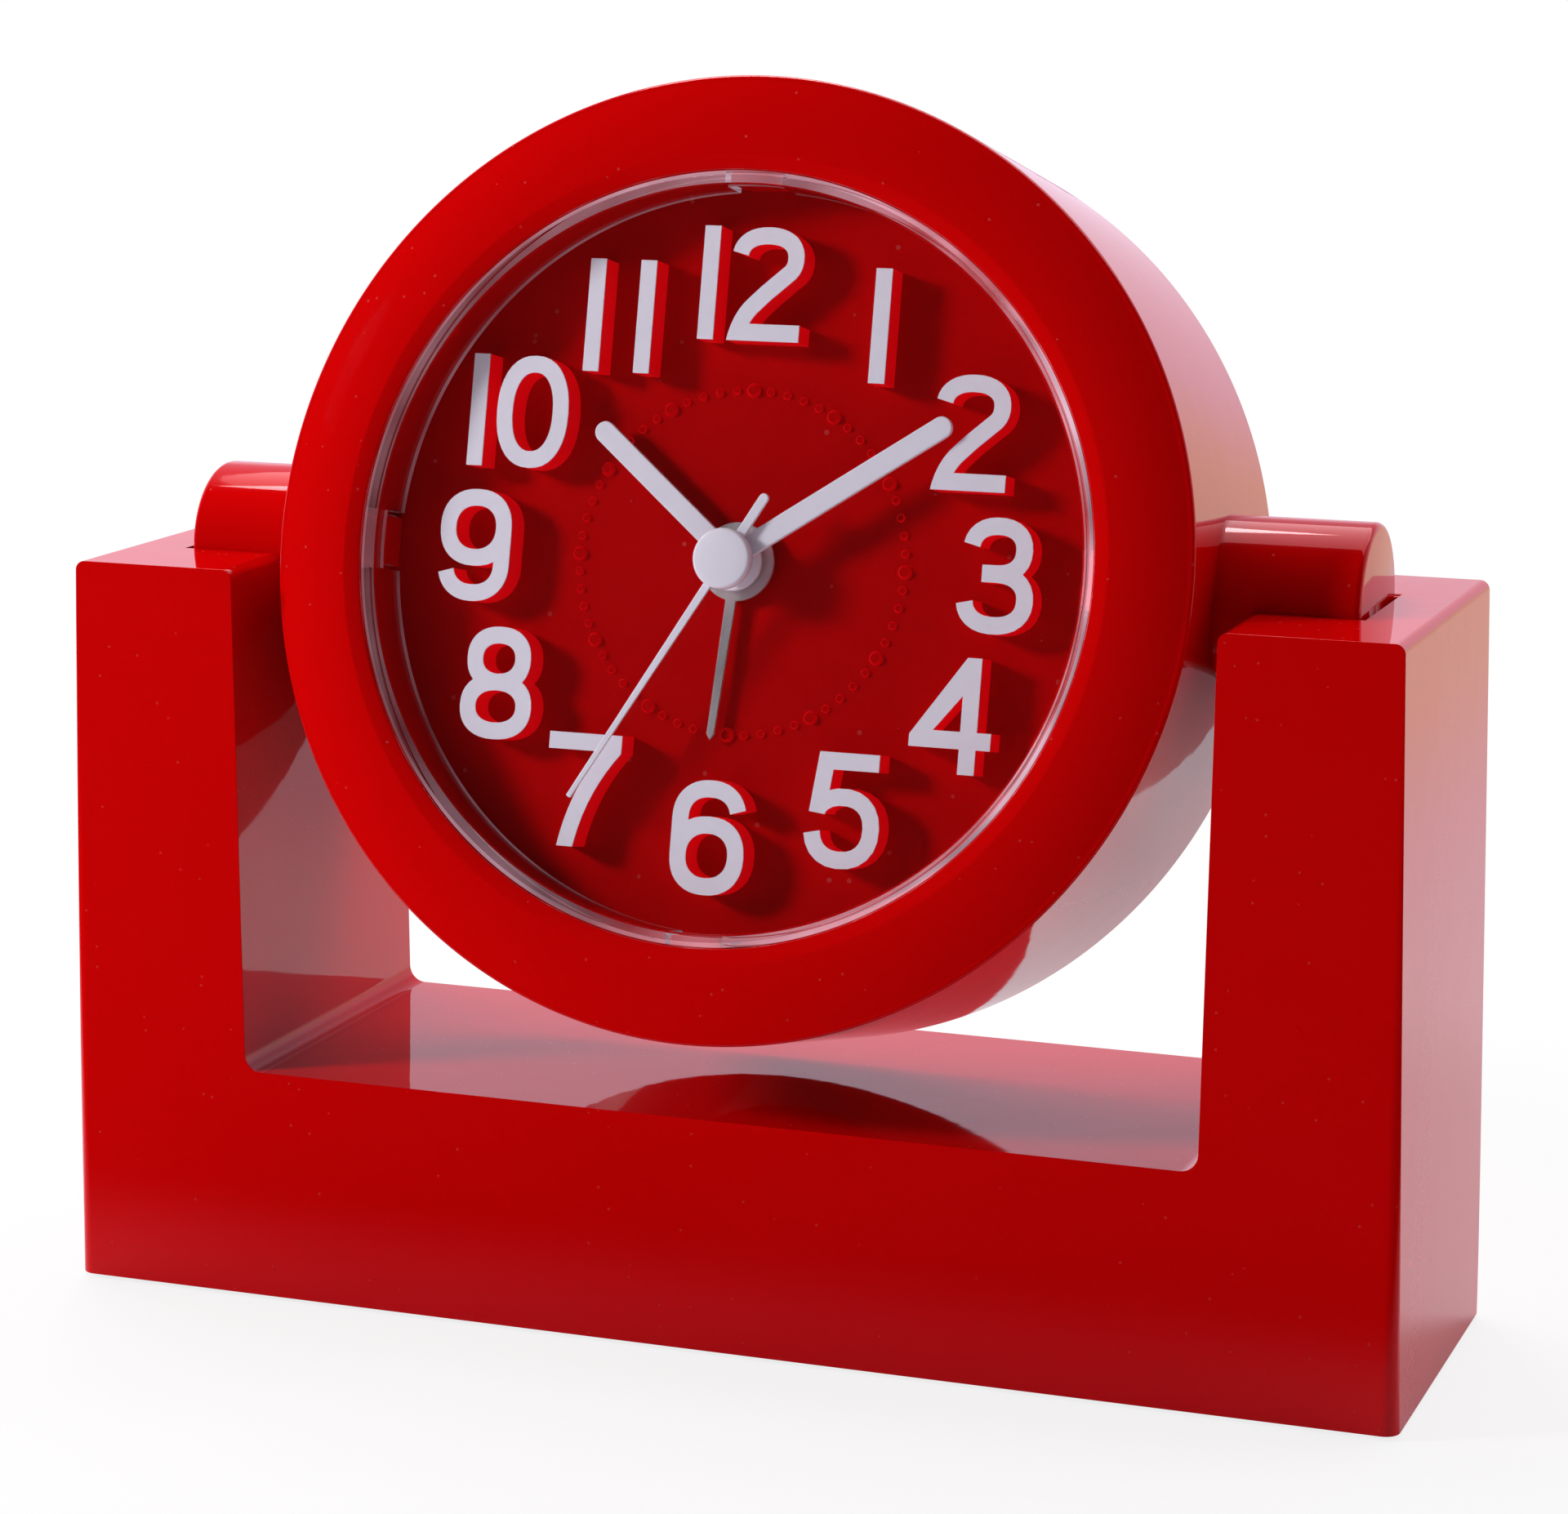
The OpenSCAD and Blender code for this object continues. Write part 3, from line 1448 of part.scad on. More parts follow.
module back_cover() {
    sound_slots = 5;
    color(red)
        in_head()
            difference() {
                union() {
                    translate([0, 0, cover_back])
                        cylinder(r = drum_inner_r - fit, h = back_t, $fn = 180);
                    translate([-bay_half_l - bay_wall, bay_y - bay_half_w - bay_wall, cover_back])
                        cube([
                            2 * (bay_half_l + bay_wall),
                            2 * (bay_half_w + bay_wall),
                            bay_floor + bay_wall - cover_back
                        ]);
                    translate([0, 0, cover_back])
                        intersection() {
                            linear_extrude(door_recess + bay_wall / 2)
                                door_plan(door_gap + bay_wall / 2);
                            cylinder(r = ledge_r - fit, h = door_recess + bay_wall);
                        }
                    translate([0, buzzer_y, cover_front])
                        tube(buzzer_r + buzzer_rim, buzzer_r - buzzer_rim, buzzer_rim);
                    for (x = [-1, 1])
                        translate([switch_at[0] + x * retainer_x, switch_at[1], cover_front])
                            cylinder(r = retainer_pin_r + 0.9, h = retainer_h, $fn = 48);
                }
                translate([0, 0, cover_back - cut])
                    linear_extrude(door_recess + cut) door_plan(door_gap);
                translate([-door_half_l - hinge_pin_l - door_gap, hinge_y, hinge_z])
                    rotate([0, 90, 0])
                        cylinder(
                            r = hinge_pin_r + bearing_gap,
                            h = 2 * (door_half_l + hinge_pin_l + door_gap),
                            $fn = 48
                        );
                translate([-bay_half_l, bay_y - bay_half_w, cover_back - cut])
                    cube([2 * bay_half_l, 2 * bay_half_w, bay_floor - cover_back + cut]);
                for (at = [time_at, alarm_at])
                    translate([at[0], at[1], cover_back - cut])
                        cylinder(r = knob_shaft_r + move_gap, h = back_t + 2 * cut, $fn = 48);
                thirds(30)
                    translate([0, 0, cover_back - cut]) {
                        cylinder(r = screw_r + fit, h = back_t + 2 * cut, $fn = 48);
                        cylinder(r = screw_head_r + 2 * fit, h = cut + countersink, $fn = 48);
                    }
                for (i = [0:sound_slots - 1])
                    translate([(i - (sound_slots - 1) / 2) * 3, buzzer_y, cover_back - cut])
                        linear_extrude(back_t + 2 * cut) rounded_rectangle(1.4, 11, 0.7);
                translate([switch_at[0], switch_at[1], cover_back - cut])
                    linear_extrude(back_t + 2 * cut)
                        square(
                            [stem_w + 2 * move_gap, stem_l + switch_travel + 2 * move_gap],
                            center = true
                        );
                for (x = [-1, 1])
                    translate([switch_at[0] + x * retainer_x, switch_at[1], cover_front - retainer_in - fit])
                        cylinder(r = retainer_pin_r + thread_gap, h = retainer_in + retainer_h + cut, $fn = 48);
            }
}

module back_screws() {
    color("silver")
        in_head()
            thirds(30)
                translate([0, 0, cover_back + countersink - screw_head_t])
                    screw(screw_r, screw_head_r, screw_head_t, back_t - countersink + screw_bite);
}

module buzzer_disc() {
    color([0.85, 0.7, 0.35])
        in_head()
            translate([0, buzzer_y, cover_front + buzzer_rim])
                cylinder(r = buzzer_r, h = buzzer_t);
}

// Battery cell, its button to the left
module battery() {
    button_l = 1;
    button_r = 1.9;
    color([0.2, 0.2, 0.22])
        in_head()
            translate([cell_l / 2, bay_y, cell_z])
                rotate([0, -90, 0]) {
                    cylinder(d = cell_d, h = cell_l - button_l);
                    cylinder(r = button_r, h = cell_l);
                }
}

// Contact plate at the right end of the bay, with a cone that touches the battery
module battery_contact(tip_r, root_r) {
    translate([bay_half_l - contact_t - thread_gap, bay_y - contact_w / 2, cell_z - contact_w / 2])
        cube([contact_t, contact_w, contact_w]);
    translate([cell_l / 2 + thread_gap, bay_y, cell_z])
        rotate([0, 90, 0])
            cylinder(r1 = tip_r, r2 = root_r, h = contact_reach - contact_t);
}

module plus_contact() {
    color(nickel)
        in_head()
            mirror([1, 0, 0]) battery_contact(1.6, 2.4);
}

module minus_contact() {
    color(nickel)
        in_head()
            battery_contact(1.8, 3.6);
}

// Door that turns on two pins at its lower edge, with a finger that springs into the bay
module battery_door() {
    latch_w = 6;
    latch_t = 1;
    latch_l = 1.4;
    thumb_r = 9;
    thumb_depth = 0.4;
    color(red)
        in_head()
            difference() {
                union() {
                    translate([-door_half_l, hinge_y, cover_back])
                        cube([2 * door_half_l, 2 * door_half_w - hinge_r, door_t]);
                    translate([-door_half_l, hinge_y, hinge_z])
                        rotate([0, 90, 0]) cylinder(r = hinge_r, h = 2 * door_half_l);
                    translate([-door_half_l - hinge_pin_l, hinge_y, hinge_z])
                        rotate([0, 90, 0])
                            cylinder(r = hinge_pin_r, h = 2 * (door_half_l + hinge_pin_l), $fn = 48);
                    translate([
                        -latch_w / 2,
                        bay_y + bay_half_w - bay_gap - move_gap - latch_t,
                        cover_back + door_t / 2
                    ])
                        cube([latch_w, latch_t, door_t / 2 + latch_l]);
                }
                translate([0, bay_y + door_half_w - 3, cover_back + thumb_depth - thumb_r])
                    sphere(r = thumb_r);
            }
}

// Slider of the alarm switch: a ribbed button behind the cover and a stem through its slot
module alarm_switch() {
    button_t = 1.8;
    rib_h = 0.5;
    rib_w = 0.6;
    cap_over = 0.6;
    flat_t = 0.7;
    color(black)
        in_head()
            translate([switch_at[0], switch_at[1] - switch_travel / 2, 0]) {
                translate([-switch_w / 2, -switch_l / 2, cover_back - move_gap - button_t])
                    cube([switch_w, switch_l, button_t]);
                for (i = [-2:2])
                    translate([
                        -switch_w / 2,
                        (2 * i - 0.5) * rib_w,
                        cover_back - move_gap - button_t - rib_h
                    ])
                        cube([switch_w, rib_w, rib_h + lap]);
                translate([-stem_w / 2, -stem_l / 2, cover_back - move_gap - lap])
                    cube([stem_w, stem_l, back_t + 2 * (move_gap + lap)]);
                translate([-stem_w, -stem_l / 2 - cap_over, cover_front + move_gap])
                    cube([2 * stem_w, stem_l + 2 * cap_over, flat_t]);
            }
}

// Bridge inside the cover that keeps the slider in its slot
module switch_retainer() {
    bridge_l = 2 * retainer_x + 3.4;
    bridge_w = 3.2;
    bridge_t = 0.4;
    color(nickel)
        in_head()
            translate([switch_at[0], switch_at[1], cover_front]) {
                translate([-bridge_l / 2, -bridge_w / 2, retainer_h])
                    cube([bridge_l, bridge_w, bridge_t]);
                for (x = [-retainer_x, retainer_x])
                    translate([x, 0, -retainer_in])
                        cylinder(r = retainer_pin_r, h = retainer_in + retainer_h + bridge_t, $fn = 48);
            }
}

// A grooved setting knob with its shaft
module knob(shaft_top) {
    groove = 0.35;
    points = [
        for (i = [0:knob_grips * 4 - 1])
            along(knob_d / 2 - groove / 2 + groove / 2 * cos(i * 90), i * 360 / (knob_grips * 4))
    ];
    translate([0, 0, knob_z]) linear_extrude(knob_t) polygon(points);
    translate([0, 0, knob_z]) cylinder(r = knob_shaft_r, h = shaft_top - knob_z, $fn = 48);
}

module time_knob() {
    color(black)
        in_head()
            translate(time_at) {
                knob(front_plate_back + shaft_in);
                translate([0, 0, motion_wheel_z - fit])
                    gear(time_teeth, motion_module, wheel_t + 2 * fit, 0, time_turn);
            }
}

module alarm_knob() {
    color(black)
        in_head()
            translate(alarm_at) {
                knob(front_plate_back + shaft_in);
                translate([0, 0, alarm_wheel_z])
                    gear(alarm_set_teeth, alarm_module, wheel_t, 0, alarm_set_turn);
            }
}

stand_shell();
base_plate();
base_screws();
foot_pads();
drum_case();
trunnions();
trunnion_screws();
pivot_screws();
friction_washers();
lens();
dial();
dial_screws();
numeral_faces();
alarm_hand();
alarm_wheel();
hour_hand();
hour_wheel();
minute_hand();
minute_pinion();
second_hand();
hand_cap();
second_wheel();
movement_front_case();
middle_plate();
movement_back_case();
movement_screws();
centre_wheel();
third_wheel();
fifth_wheel();
rotor();
motion_wheel();
stator();
coil_core();
coil_bobbin();
coil_winding();
circuit_board();
quartz_crystal();
control_chip();
alarm_contact();
back_cover();
back_screws();
buzzer_disc();
battery();
plus_contact();
minus_contact();
battery_door();
alarm_switch();
switch_retainer();
time_knob();
alarm_knob();
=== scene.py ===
"""Desk clock: the looks of a round alarm clock that tilts between the pillars of its stand.

Laid out as an add-on and run as a script. Every size is in metres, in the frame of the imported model.
"""

import json
import math

import bmesh
import bpy
from bpy.props import FloatProperty, FloatVectorProperty, PointerProperty
from mathutils import Matrix, Vector


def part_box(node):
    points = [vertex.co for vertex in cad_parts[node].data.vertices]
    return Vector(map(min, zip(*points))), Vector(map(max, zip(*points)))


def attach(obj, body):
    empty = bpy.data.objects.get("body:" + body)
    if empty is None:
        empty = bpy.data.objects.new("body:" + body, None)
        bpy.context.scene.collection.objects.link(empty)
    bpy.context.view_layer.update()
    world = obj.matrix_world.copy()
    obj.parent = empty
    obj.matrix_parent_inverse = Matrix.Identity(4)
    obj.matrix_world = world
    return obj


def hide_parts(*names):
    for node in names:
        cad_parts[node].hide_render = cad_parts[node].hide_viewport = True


bl_info = {
    "name": "Desk clock",
    "version": (1, 0, 0),
    "blender": (4, 5, 0),
    "location": "View3D > Sidebar > Clock",
    "description": "Dresses the packed desk clock with detailed pieces, finishes and a studio",
    "category": "Object",
}

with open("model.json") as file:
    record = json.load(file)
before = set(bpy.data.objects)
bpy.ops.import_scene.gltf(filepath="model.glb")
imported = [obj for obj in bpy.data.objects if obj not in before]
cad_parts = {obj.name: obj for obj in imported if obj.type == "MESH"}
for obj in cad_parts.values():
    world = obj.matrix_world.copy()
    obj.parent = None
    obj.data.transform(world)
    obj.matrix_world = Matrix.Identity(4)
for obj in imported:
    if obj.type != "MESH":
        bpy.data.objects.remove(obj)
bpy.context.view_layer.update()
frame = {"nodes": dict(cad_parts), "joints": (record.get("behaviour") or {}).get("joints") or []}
TILT = next(j for j in frame["joints"] if j["name"] == "head_tilt")
SPIN = next(j for j in frame["joints"] if j["name"] == "second_spin")

MM = 0.001
FULL_TURN = 2 * math.pi
# Head frame: x to the right, y up the dial, z towards the viewer, 0 at the trunnions
HEAD_Z = -Vector(SPIN["axis"]).normalized()
HEAD_X = Vector((1, 0, 0))
HEAD_TURN = Matrix((HEAD_X, HEAD_Z.cross(HEAD_X), HEAD_Z)).transposed().to_4x4()
HEAD = Matrix.Translation(TILT["pos_m"]) @ HEAD_TURN
# Turns a shape made about z to lie along x
ALONG_X = Matrix.Rotation(math.pi / 2, 4, "Y")


# Sizes and colours that a user would change

def length(name, description, default):
    """A length in metres with a name and a description"""
    return FloatProperty(
        name=name, description=description, default=default, min=0, unit="LENGTH", precision=5
    )


def colour(name, description, default):
    """A colour with a name and a description"""
    return FloatVectorProperty(
        name=name, description=description, default=default, min=0, max=1, size=3, subtype="COLOR"
    )


class ClockSizes(bpy.types.PropertyGroup):
    """Sizes of the pieces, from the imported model"""

    pillar_width: length("Pillar width", "Width of a pillar at its top", 0.0178)
    pillar_taper: length("Pillar taper", "How much wider a pillar is at the foot of the gap", 0.0008)
    side_flare: length("Side flare", "How far each outer side leans out", 0.0014)
    stand_depth: length("Stand depth", "Depth of the stand from front to back", 0.041)
    bar_height: length("Bar height", "Height of the bar between the pillars", 0.0245)
    stand_wall: length("Stand wall", "Wall of the hollow stand", 0.0022)
    side_gap: length("Side gap", "Gap between the drum and each pillar", 0.0035)
    upright_edge: length("Upright edge", "Radius of the stand's upright edges", 0.0016)
    top_edge: length("Top edge", "Radius of the edges at the pillar tops", 0.001)
    crook: length("Crook", "Radius of the inner corners of the gap", 0.0018)
    fine_edge: length("Fine edge", "Radius of the moulded edges that look sharp", 0.00035)
    pad_proud: length("Pad height", "How far the pads hold the stand off the table", 0.0005)
    saddle_gap: length("Saddle gap", "Gap between a trunnion and its saddle", 0.0003)
    trunnion_radius: length("Trunnion radius", "Radius of the trunnions", 0.0082)
    trunnion_reach: length("Trunnion reach", "How far a trunnion reaches into its pillar", 0.0108)
    drum_radius: length("Drum radius", "Radius of the drum", 0.048)
    drum_length: length("Drum length", "Length of the drum's side", 0.033)
    drum_wall: length("Drum wall", "Wall of the drum", 0.002)
    ring_width: length("Ring width", "Width of the front ring round the lens", 0.0096)
    ring_rise: length("Ring rise", "How far the front ring bulges", 0.0016)
    dial_depth: length("Dial depth", "Depth of the dial behind the drum's front edge", 0.0068)
    lens_thickness: length("Lens thickness", "Thickness of the lens", 0.0016)
    skirt: length("Lens skirt", "Wall of the lens skirt", 0.0011)
    lens_front: length("Lens front", "Front of the lens in front of the trunnions", 0.0179)
    cap_radius: length("Cap radius", "Radius of the cap over the hands", 0.00305)


class ClockColours(bpy.types.PropertyGroup):
    """Colours of the finishes, and of the light painted onto the numeral sides and the lens edges"""

    red: colour("Red", "Gloss red of the stand and drum", (0.56, 0.0006, 0.001))
    dial_red: colour("Dial red", "Matt red of the dial", (0.41, 0.0003, 0.001))
    # Painted light: an emission colour on the sides of the raised numerals and beads, standing in for
    # light the lamps don't put there
    relief_painted_light: colour("Relief glow", "Light through the numerals' red sides", (0.36, 0.0002, 0.002))
    # Painted highlight: an emission colour on the lens's cut edges, standing in for light piped through
    # the acrylic
    lens_edge_painted_light: colour("Lens edge glow", "Light out of the lens's cut edges", (0.55, 0.38, 0.46))
    white: colour("White", "White of the numeral faces and hands", (0.8, 0.77, 0.87))
    silver: colour("Silver", "Silver of the alarm hand", (0.82, 0.82, 0.85))
    ivory: colour("Ivory", "Natural nylon of the gear wheels", (0.74, 0.7, 0.58))
    black: colour("Black", "Black of the knobs, switch and pads", (0.02, 0.02, 0.021))


# Making meshes

def add_piece(name, mesh, matrix=None):
    """A new object with a mesh, placed in the row frame by moving its vertices"""
    if matrix is not None:
        mesh.transform(matrix)
    piece = bpy.data.objects.new(name, mesh)
    bpy.context.scene.collection.objects.link(piece)
    return piece


def mesh_from(name, points, faces):
    """A mesh from points and faces, with its normals turned outwards"""
    mesh = bpy.data.meshes.new(name)
    mesh.from_pydata([tuple(p) for p in points], [], faces)
    shape = bmesh.new()
    shape.from_mesh(mesh)
    bmesh.ops.remove_doubles(shape, verts=shape.verts, dist=1e-7)
    bmesh.ops.recalc_face_normals(shape, faces=shape.faces)
    shape.to_mesh(mesh)
    shape.free()
    return mesh


def arc(centre, radius, start, end, steps):
    """Points of an arc, from one angle to another in degrees"""
    angles = [math.radians(start + (end - start) * i / steps) for i in range(steps + 1)]
    return [(centre[0] + radius * math.cos(a), centre[1] + radius * math.sin(a)) for a in angles]


def turned(name, profile, matrix=None, steps=180):
    """A closed profile of (radius, height) points turned about the axis that the heights lie on"""
    points = []
    for i in range(steps):
        a = FULL_TURN * i / steps
        points += [(r * math.cos(a), r * math.sin(a), z) for r, z in profile]
    count = len(profile)
    faces = []
    for i in range(steps):
        here, there = i * count, (i + 1) % steps * count
        for j in range(count):
            k = (j + 1) % count
            if profile[j][0] > 0 or profile[k][0] > 0:
                faces.append((here + j, there + j, there + k, here + k))
    mesh = mesh_from(name, points, faces)
    return add_piece(name, mesh, matrix)


def rectangle(left, right, low, high):
    """Outline of a rectangle"""
    return [(left, low), (right, low), (right, high), (left, high)]


def extruded(name, outline, low, high, matrix=None):
    """A prism from an outline of (x, y) points between two heights"""
    count = len(outline)
    points = [(x, y, low) for x, y in outline] + [(x, y, high) for x, y in outline]
    faces = [tuple(range(count)), tuple(range(count, 2 * count))]
    faces += [(i, (i + 1) % count, count + (i + 1) % count, count + i) for i in range(count)]
    return add_piece(name, mesh_from(name, points, faces), matrix)


def filleted(corners):
    """An outline with rounded corners, from (x, y, radius) corners in order"""
    outline = []
    steps = 8
    for i, (x, y, radius) in enumerate(corners):
        here = Vector((x, y))
        before = (Vector(corners[i - 1][:2]) - here).normalized()
        after = (Vector(corners[(i + 1) % len(corners)][:2]) - here).normalized()
        if radius <= 0:
            outline.append(tuple(here))
            continue
        half = before.angle(after) / 2
        centre = here + (before + after).normalized() * radius / math.sin(half)
        first = here + before * radius / math.tan(half) - centre
        last = here + after * radius / math.tan(half) - centre
        sweep = first.angle_signed(last)
        for step in range(steps + 1):
            turn = -sweep * step / steps
            outline.append((
                centre.x + first.x * math.cos(turn) - first.y * math.sin(turn),
                centre.y + first.x * math.sin(turn) + first.y * math.cos(turn),
            ))
    return outline


def apply_modifiers(piece):
    """Bakes a piece's modifiers into its mesh"""
    bpy.context.view_layer.update()
    seen = piece.evaluated_get(bpy.context.evaluated_depsgraph_get())
    mesh = bpy.data.meshes.new_from_object(seen)
    piece.modifiers.clear()
    piece.data = mesh


def combine(piece, tool, operation):
    """Joins or cuts a piece with another shape, which is then removed"""
    step = piece.modifiers.new(operation.title(), "BOOLEAN")
    step.operation = operation
    step.object = tool
    step.solver = "EXACT"
    apply_modifiers(piece)
    bpy.data.objects.remove(tool)
    return piece


def smooth_shading(piece, angle=32):
    """Smooth shading that keeps edges sharper than an angle"""
    for face in piece.data.polygons:
        face.use_smooth = True
    piece.data.set_sharp_from_angle(angle=math.radians(angle))


def round_edges(piece, width, steps=3, angle=32):
    """Rounds every edge sharper than an angle and keeps the flat faces flat"""
    bevel = piece.modifiers.new("Rounded edges", "BEVEL")
    bevel.width = width
    bevel.segments = steps
    bevel.limit_method = "ANGLE"
    bevel.angle_limit = math.radians(angle)
    bevel.harden_normals = True
    smooth_shading(piece, 60)
    apply_modifiers(piece)


def weighted_normals(piece):
    """Lets large faces decide the normals at rounded edges"""
    smooth_shading(piece, 60)
    piece.modifiers.new("Weighted normals", "WEIGHTED_NORMAL").keep_sharp = True
    apply_modifiers(piece)


# Node groups that several materials share

def new_group(name, inputs, outputs):
    """A shader node group with named inputs and outputs, built once"""
    group = bpy.data.node_groups.new(name, "ShaderNodeTree")
    for label, kind, default in inputs:
        socket = group.interface.new_socket(label, in_out="INPUT", socket_type=kind)
        socket.default_value = default
    for label, kind in outputs:
        group.interface.new_socket(label, in_out="OUTPUT", socket_type=kind)
    return group, group.nodes.new("NodeGroupInput"), group.nodes.new("NodeGroupOutput")


def math_node(tree, operation, first, second=0, clamp=False):
    """A math node fed by sockets or numbers"""
    node = tree.nodes.new("ShaderNodeMath")
    node.operation = operation
    node.use_clamp = clamp
    for socket, value in zip(node.inputs, (first, second)):
        if isinstance(value, bpy.types.NodeSocket):
            tree.links.new(value, socket)
        else:
            socket.default_value = value
    return node.outputs[0]


def vector_node(tree, operation, first, second=None):
    """The result of a vector math node fed by sockets"""
    node = tree.nodes.new("ShaderNodeVectorMath")
    node.operation = operation
    tree.links.new(first, node.inputs[0])
    if second is not None:
        tree.links.new(second, node.inputs[1])
    return node.outputs["Value" if operation in {"DOT_PRODUCT", "LENGTH"} else "Vector"]


def place_node(tree, kind="Object"):
    """Where a point lies in the object's own space, or its normal there"""
    return tree.nodes.new("ShaderNodeTexCoord").outputs[kind]


def split_node(tree, vector):
    """The X, Y and Z of a vector"""
    node = tree.nodes.new("ShaderNodeSeparateXYZ")
    tree.links.new(vector, node.inputs["Vector"])
    return node.outputs


def noise_node(tree, scale, detail, roughness=0.55):
    """Noise in the object's own space, with a scale from a socket or a number"""
    noise = tree.nodes.new("ShaderNodeTexNoise")
    tree.links.new(place_node(tree), noise.inputs["Vector"])
    if isinstance(scale, bpy.types.NodeSocket):
        tree.links.new(scale, noise.inputs["Scale"])
    else:
        noise.inputs["Scale"].default_value = scale
    noise.inputs["Detail"].default_value = detail
    noise.inputs["Roughness"].default_value = roughness
    return noise.outputs["Fac"]


def give_colour(tree, socket, colour):
    """Sets a colour socket from a colour or from another socket"""
    if isinstance(colour, bpy.types.NodeSocket):
        tree.links.new(colour, socket)
    else:
        socket.default_value = (*colour, 1)


def blend_colours(tree, share, first, second):
    """A colour that goes from a first to a second one, each a colour or a socket"""
    mix = tree.nodes.new("ShaderNodeMix")
    mix.data_type = "RGBA"
    tree.links.new(share, mix.inputs["Factor"])
    give_colour(tree, mix.inputs["A"], first)
    give_colour(tree, mix.inputs["B"], second)
    return mix.outputs["Result"]


def blend_shaders(tree, share, first, second):
    """A surface that goes from a first shader to a second one"""
    mix = tree.nodes.new("ShaderNodeMixShader")
    tree.links.new(share, mix.inputs["Fac"])
    tree.links.new(first, mix.inputs[1])
    tree.links.new(second, mix.inputs[2])
    return mix.outputs["Shader"]


def fine_grain_group():
    """Fine moulded grain or orange peel as a height"""
    group, given, result = new_group(
        "Fine grain",
        [("Scale", "NodeSocketFloat", 3000), ("Strength", "NodeSocketFloat", 0.5)],
        [("Height", "NodeSocketFloat")],
    )
    coarse = noise_node(group, given.outputs["Scale"], 3)
    fine = noise_node(group, math_node(group, "MULTIPLY", given.outputs["Scale"], 3.1), 2)
    both = math_node(group, "ADD", coarse, math_node(group, "MULTIPLY", fine, 0.4))
    height = math_node(group, "MULTIPLY", both, given.outputs["Strength"])
    group.links.new(height, result.inputs["Height"])
    return group


def soft_smudges_group():
    """Roughness that drifts between a smooth and a rough value, as on handled plastic"""
    group, given, result = new_group(
        "Soft smudges",
        [
            ("Smooth", "NodeSocketFloat", 0.1),
            ("Rough", "NodeSocketFloat", 0.2),
            ("Scale", "NodeSocketFloat", 60),
        ],
        [("Roughness", "NodeSocketFloat")],
    )
    cloud = noise_node(group, given.outputs["Scale"], 4, 0.6)
    span = group.nodes.new("ShaderNodeMapRange")
    span.inputs["From Min"].default_value = 0.35
    span.inputs["From Max"].default_value = 0.72
    group.links.new(cloud, span.inputs["Value"])
    group.links.new(given.outputs["Smooth"], span.inputs["To Min"])
    group.links.new(given.outputs["Rough"], span.inputs["To Max"])
    group.links.new(span.outputs["Result"], result.inputs["Roughness"])
    return group


def moulded_tint_group():
    """A colour with faint lighter and darker clouds"""
    group, given, result = new_group(
        "Moulded tint",
        [
            ("Colour", "NodeSocketColor", (0.5, 0.5, 0.5, 1)),
            ("Amount", "NodeSocketFloat", 0.06),
            ("Scale", "NodeSocketFloat", 90),
        ],
        [("Colour", "NodeSocketColor")],
    )
    cloud = noise_node(group, given.outputs["Scale"], 5)
    centred = math_node(group, "SUBTRACT", cloud, 0.5)
    value = math_node(group, "ADD", math_node(group, "MULTIPLY", centred, given.outputs["Amount"]), 1)
    tint = group.nodes.new("ShaderNodeHueSaturation")
    group.links.new(value, tint.inputs["Value"])
    group.links.new(given.outputs["Colour"], tint.inputs["Color"])
    group.links.new(tint.outputs["Color"], result.inputs["Colour"])
    return group


def worn_edge_group():
    """A mask that is bright along the edges, broken up by noise"""
    group, given, result = new_group(
        "Worn edge",
        [("Width", "NodeSocketFloat", 0.0004), ("Amount", "NodeSocketFloat", 1)],
        [("Mask", "NodeSocketFloat")],
    )
    bevel = group.nodes.new("ShaderNodeBevel")
    bevel.samples = 4
    group.links.new(given.outputs["Width"], bevel.inputs["Radius"])
    surface = group.nodes.new("ShaderNodeNewGeometry").outputs["Normal"]
    alike = vector_node(group, "DOT_PRODUCT", bevel.outputs["Normal"], surface)
    turn = math_node(group, "SUBTRACT", 1, alike)
    edge = math_node(group, "MULTIPLY", turn, 12, clamp=True)
    broken = math_node(group, "MULTIPLY", edge, noise_node(group, 900, 4))
    mask = math_node(group, "MULTIPLY", broken, given.outputs["Amount"], clamp=True)
    group.links.new(mask, result.inputs["Mask"])
    return group


def dust_group():
    """A mask of sparse dust specks that lie on faces that look up"""
    group, given, result = new_group(
        "Dust specks",
        [("Scale", "NodeSocketFloat", 900), ("Amount", "NodeSocketFloat", 0.5)],
        [("Mask", "NodeSocketFloat")],
    )
    cells = group.nodes.new("ShaderNodeTexVoronoi")
    group.links.new(place_node(group), cells.inputs["Vector"])
    group.links.new(given.outputs["Scale"], cells.inputs["Scale"])
    speck = math_node(group, "LESS_THAN", cells.outputs["Distance"], 0.13)
    split = group.nodes.new("ShaderNodeSeparateColor")
    group.links.new(cells.outputs["Color"], split.inputs["Color"])
    sparse = math_node(group, "GREATER_THAN", split.outputs["Red"], 0.86)
    normal = group.nodes.new("ShaderNodeNewGeometry").outputs["Normal"]
    upwards = math_node(group, "MULTIPLY", split_node(group, normal)["Z"], 0.7)
    up = math_node(group, "ADD", upwards, 0.4, clamp=True)
    dusty = math_node(group, "MULTIPLY", math_node(group, "MULTIPLY", speck, sparse), up)
    mask = math_node(group, "MULTIPLY", dusty, given.outputs["Amount"], clamp=True)
    group.links.new(mask, result.inputs["Mask"])
    return group


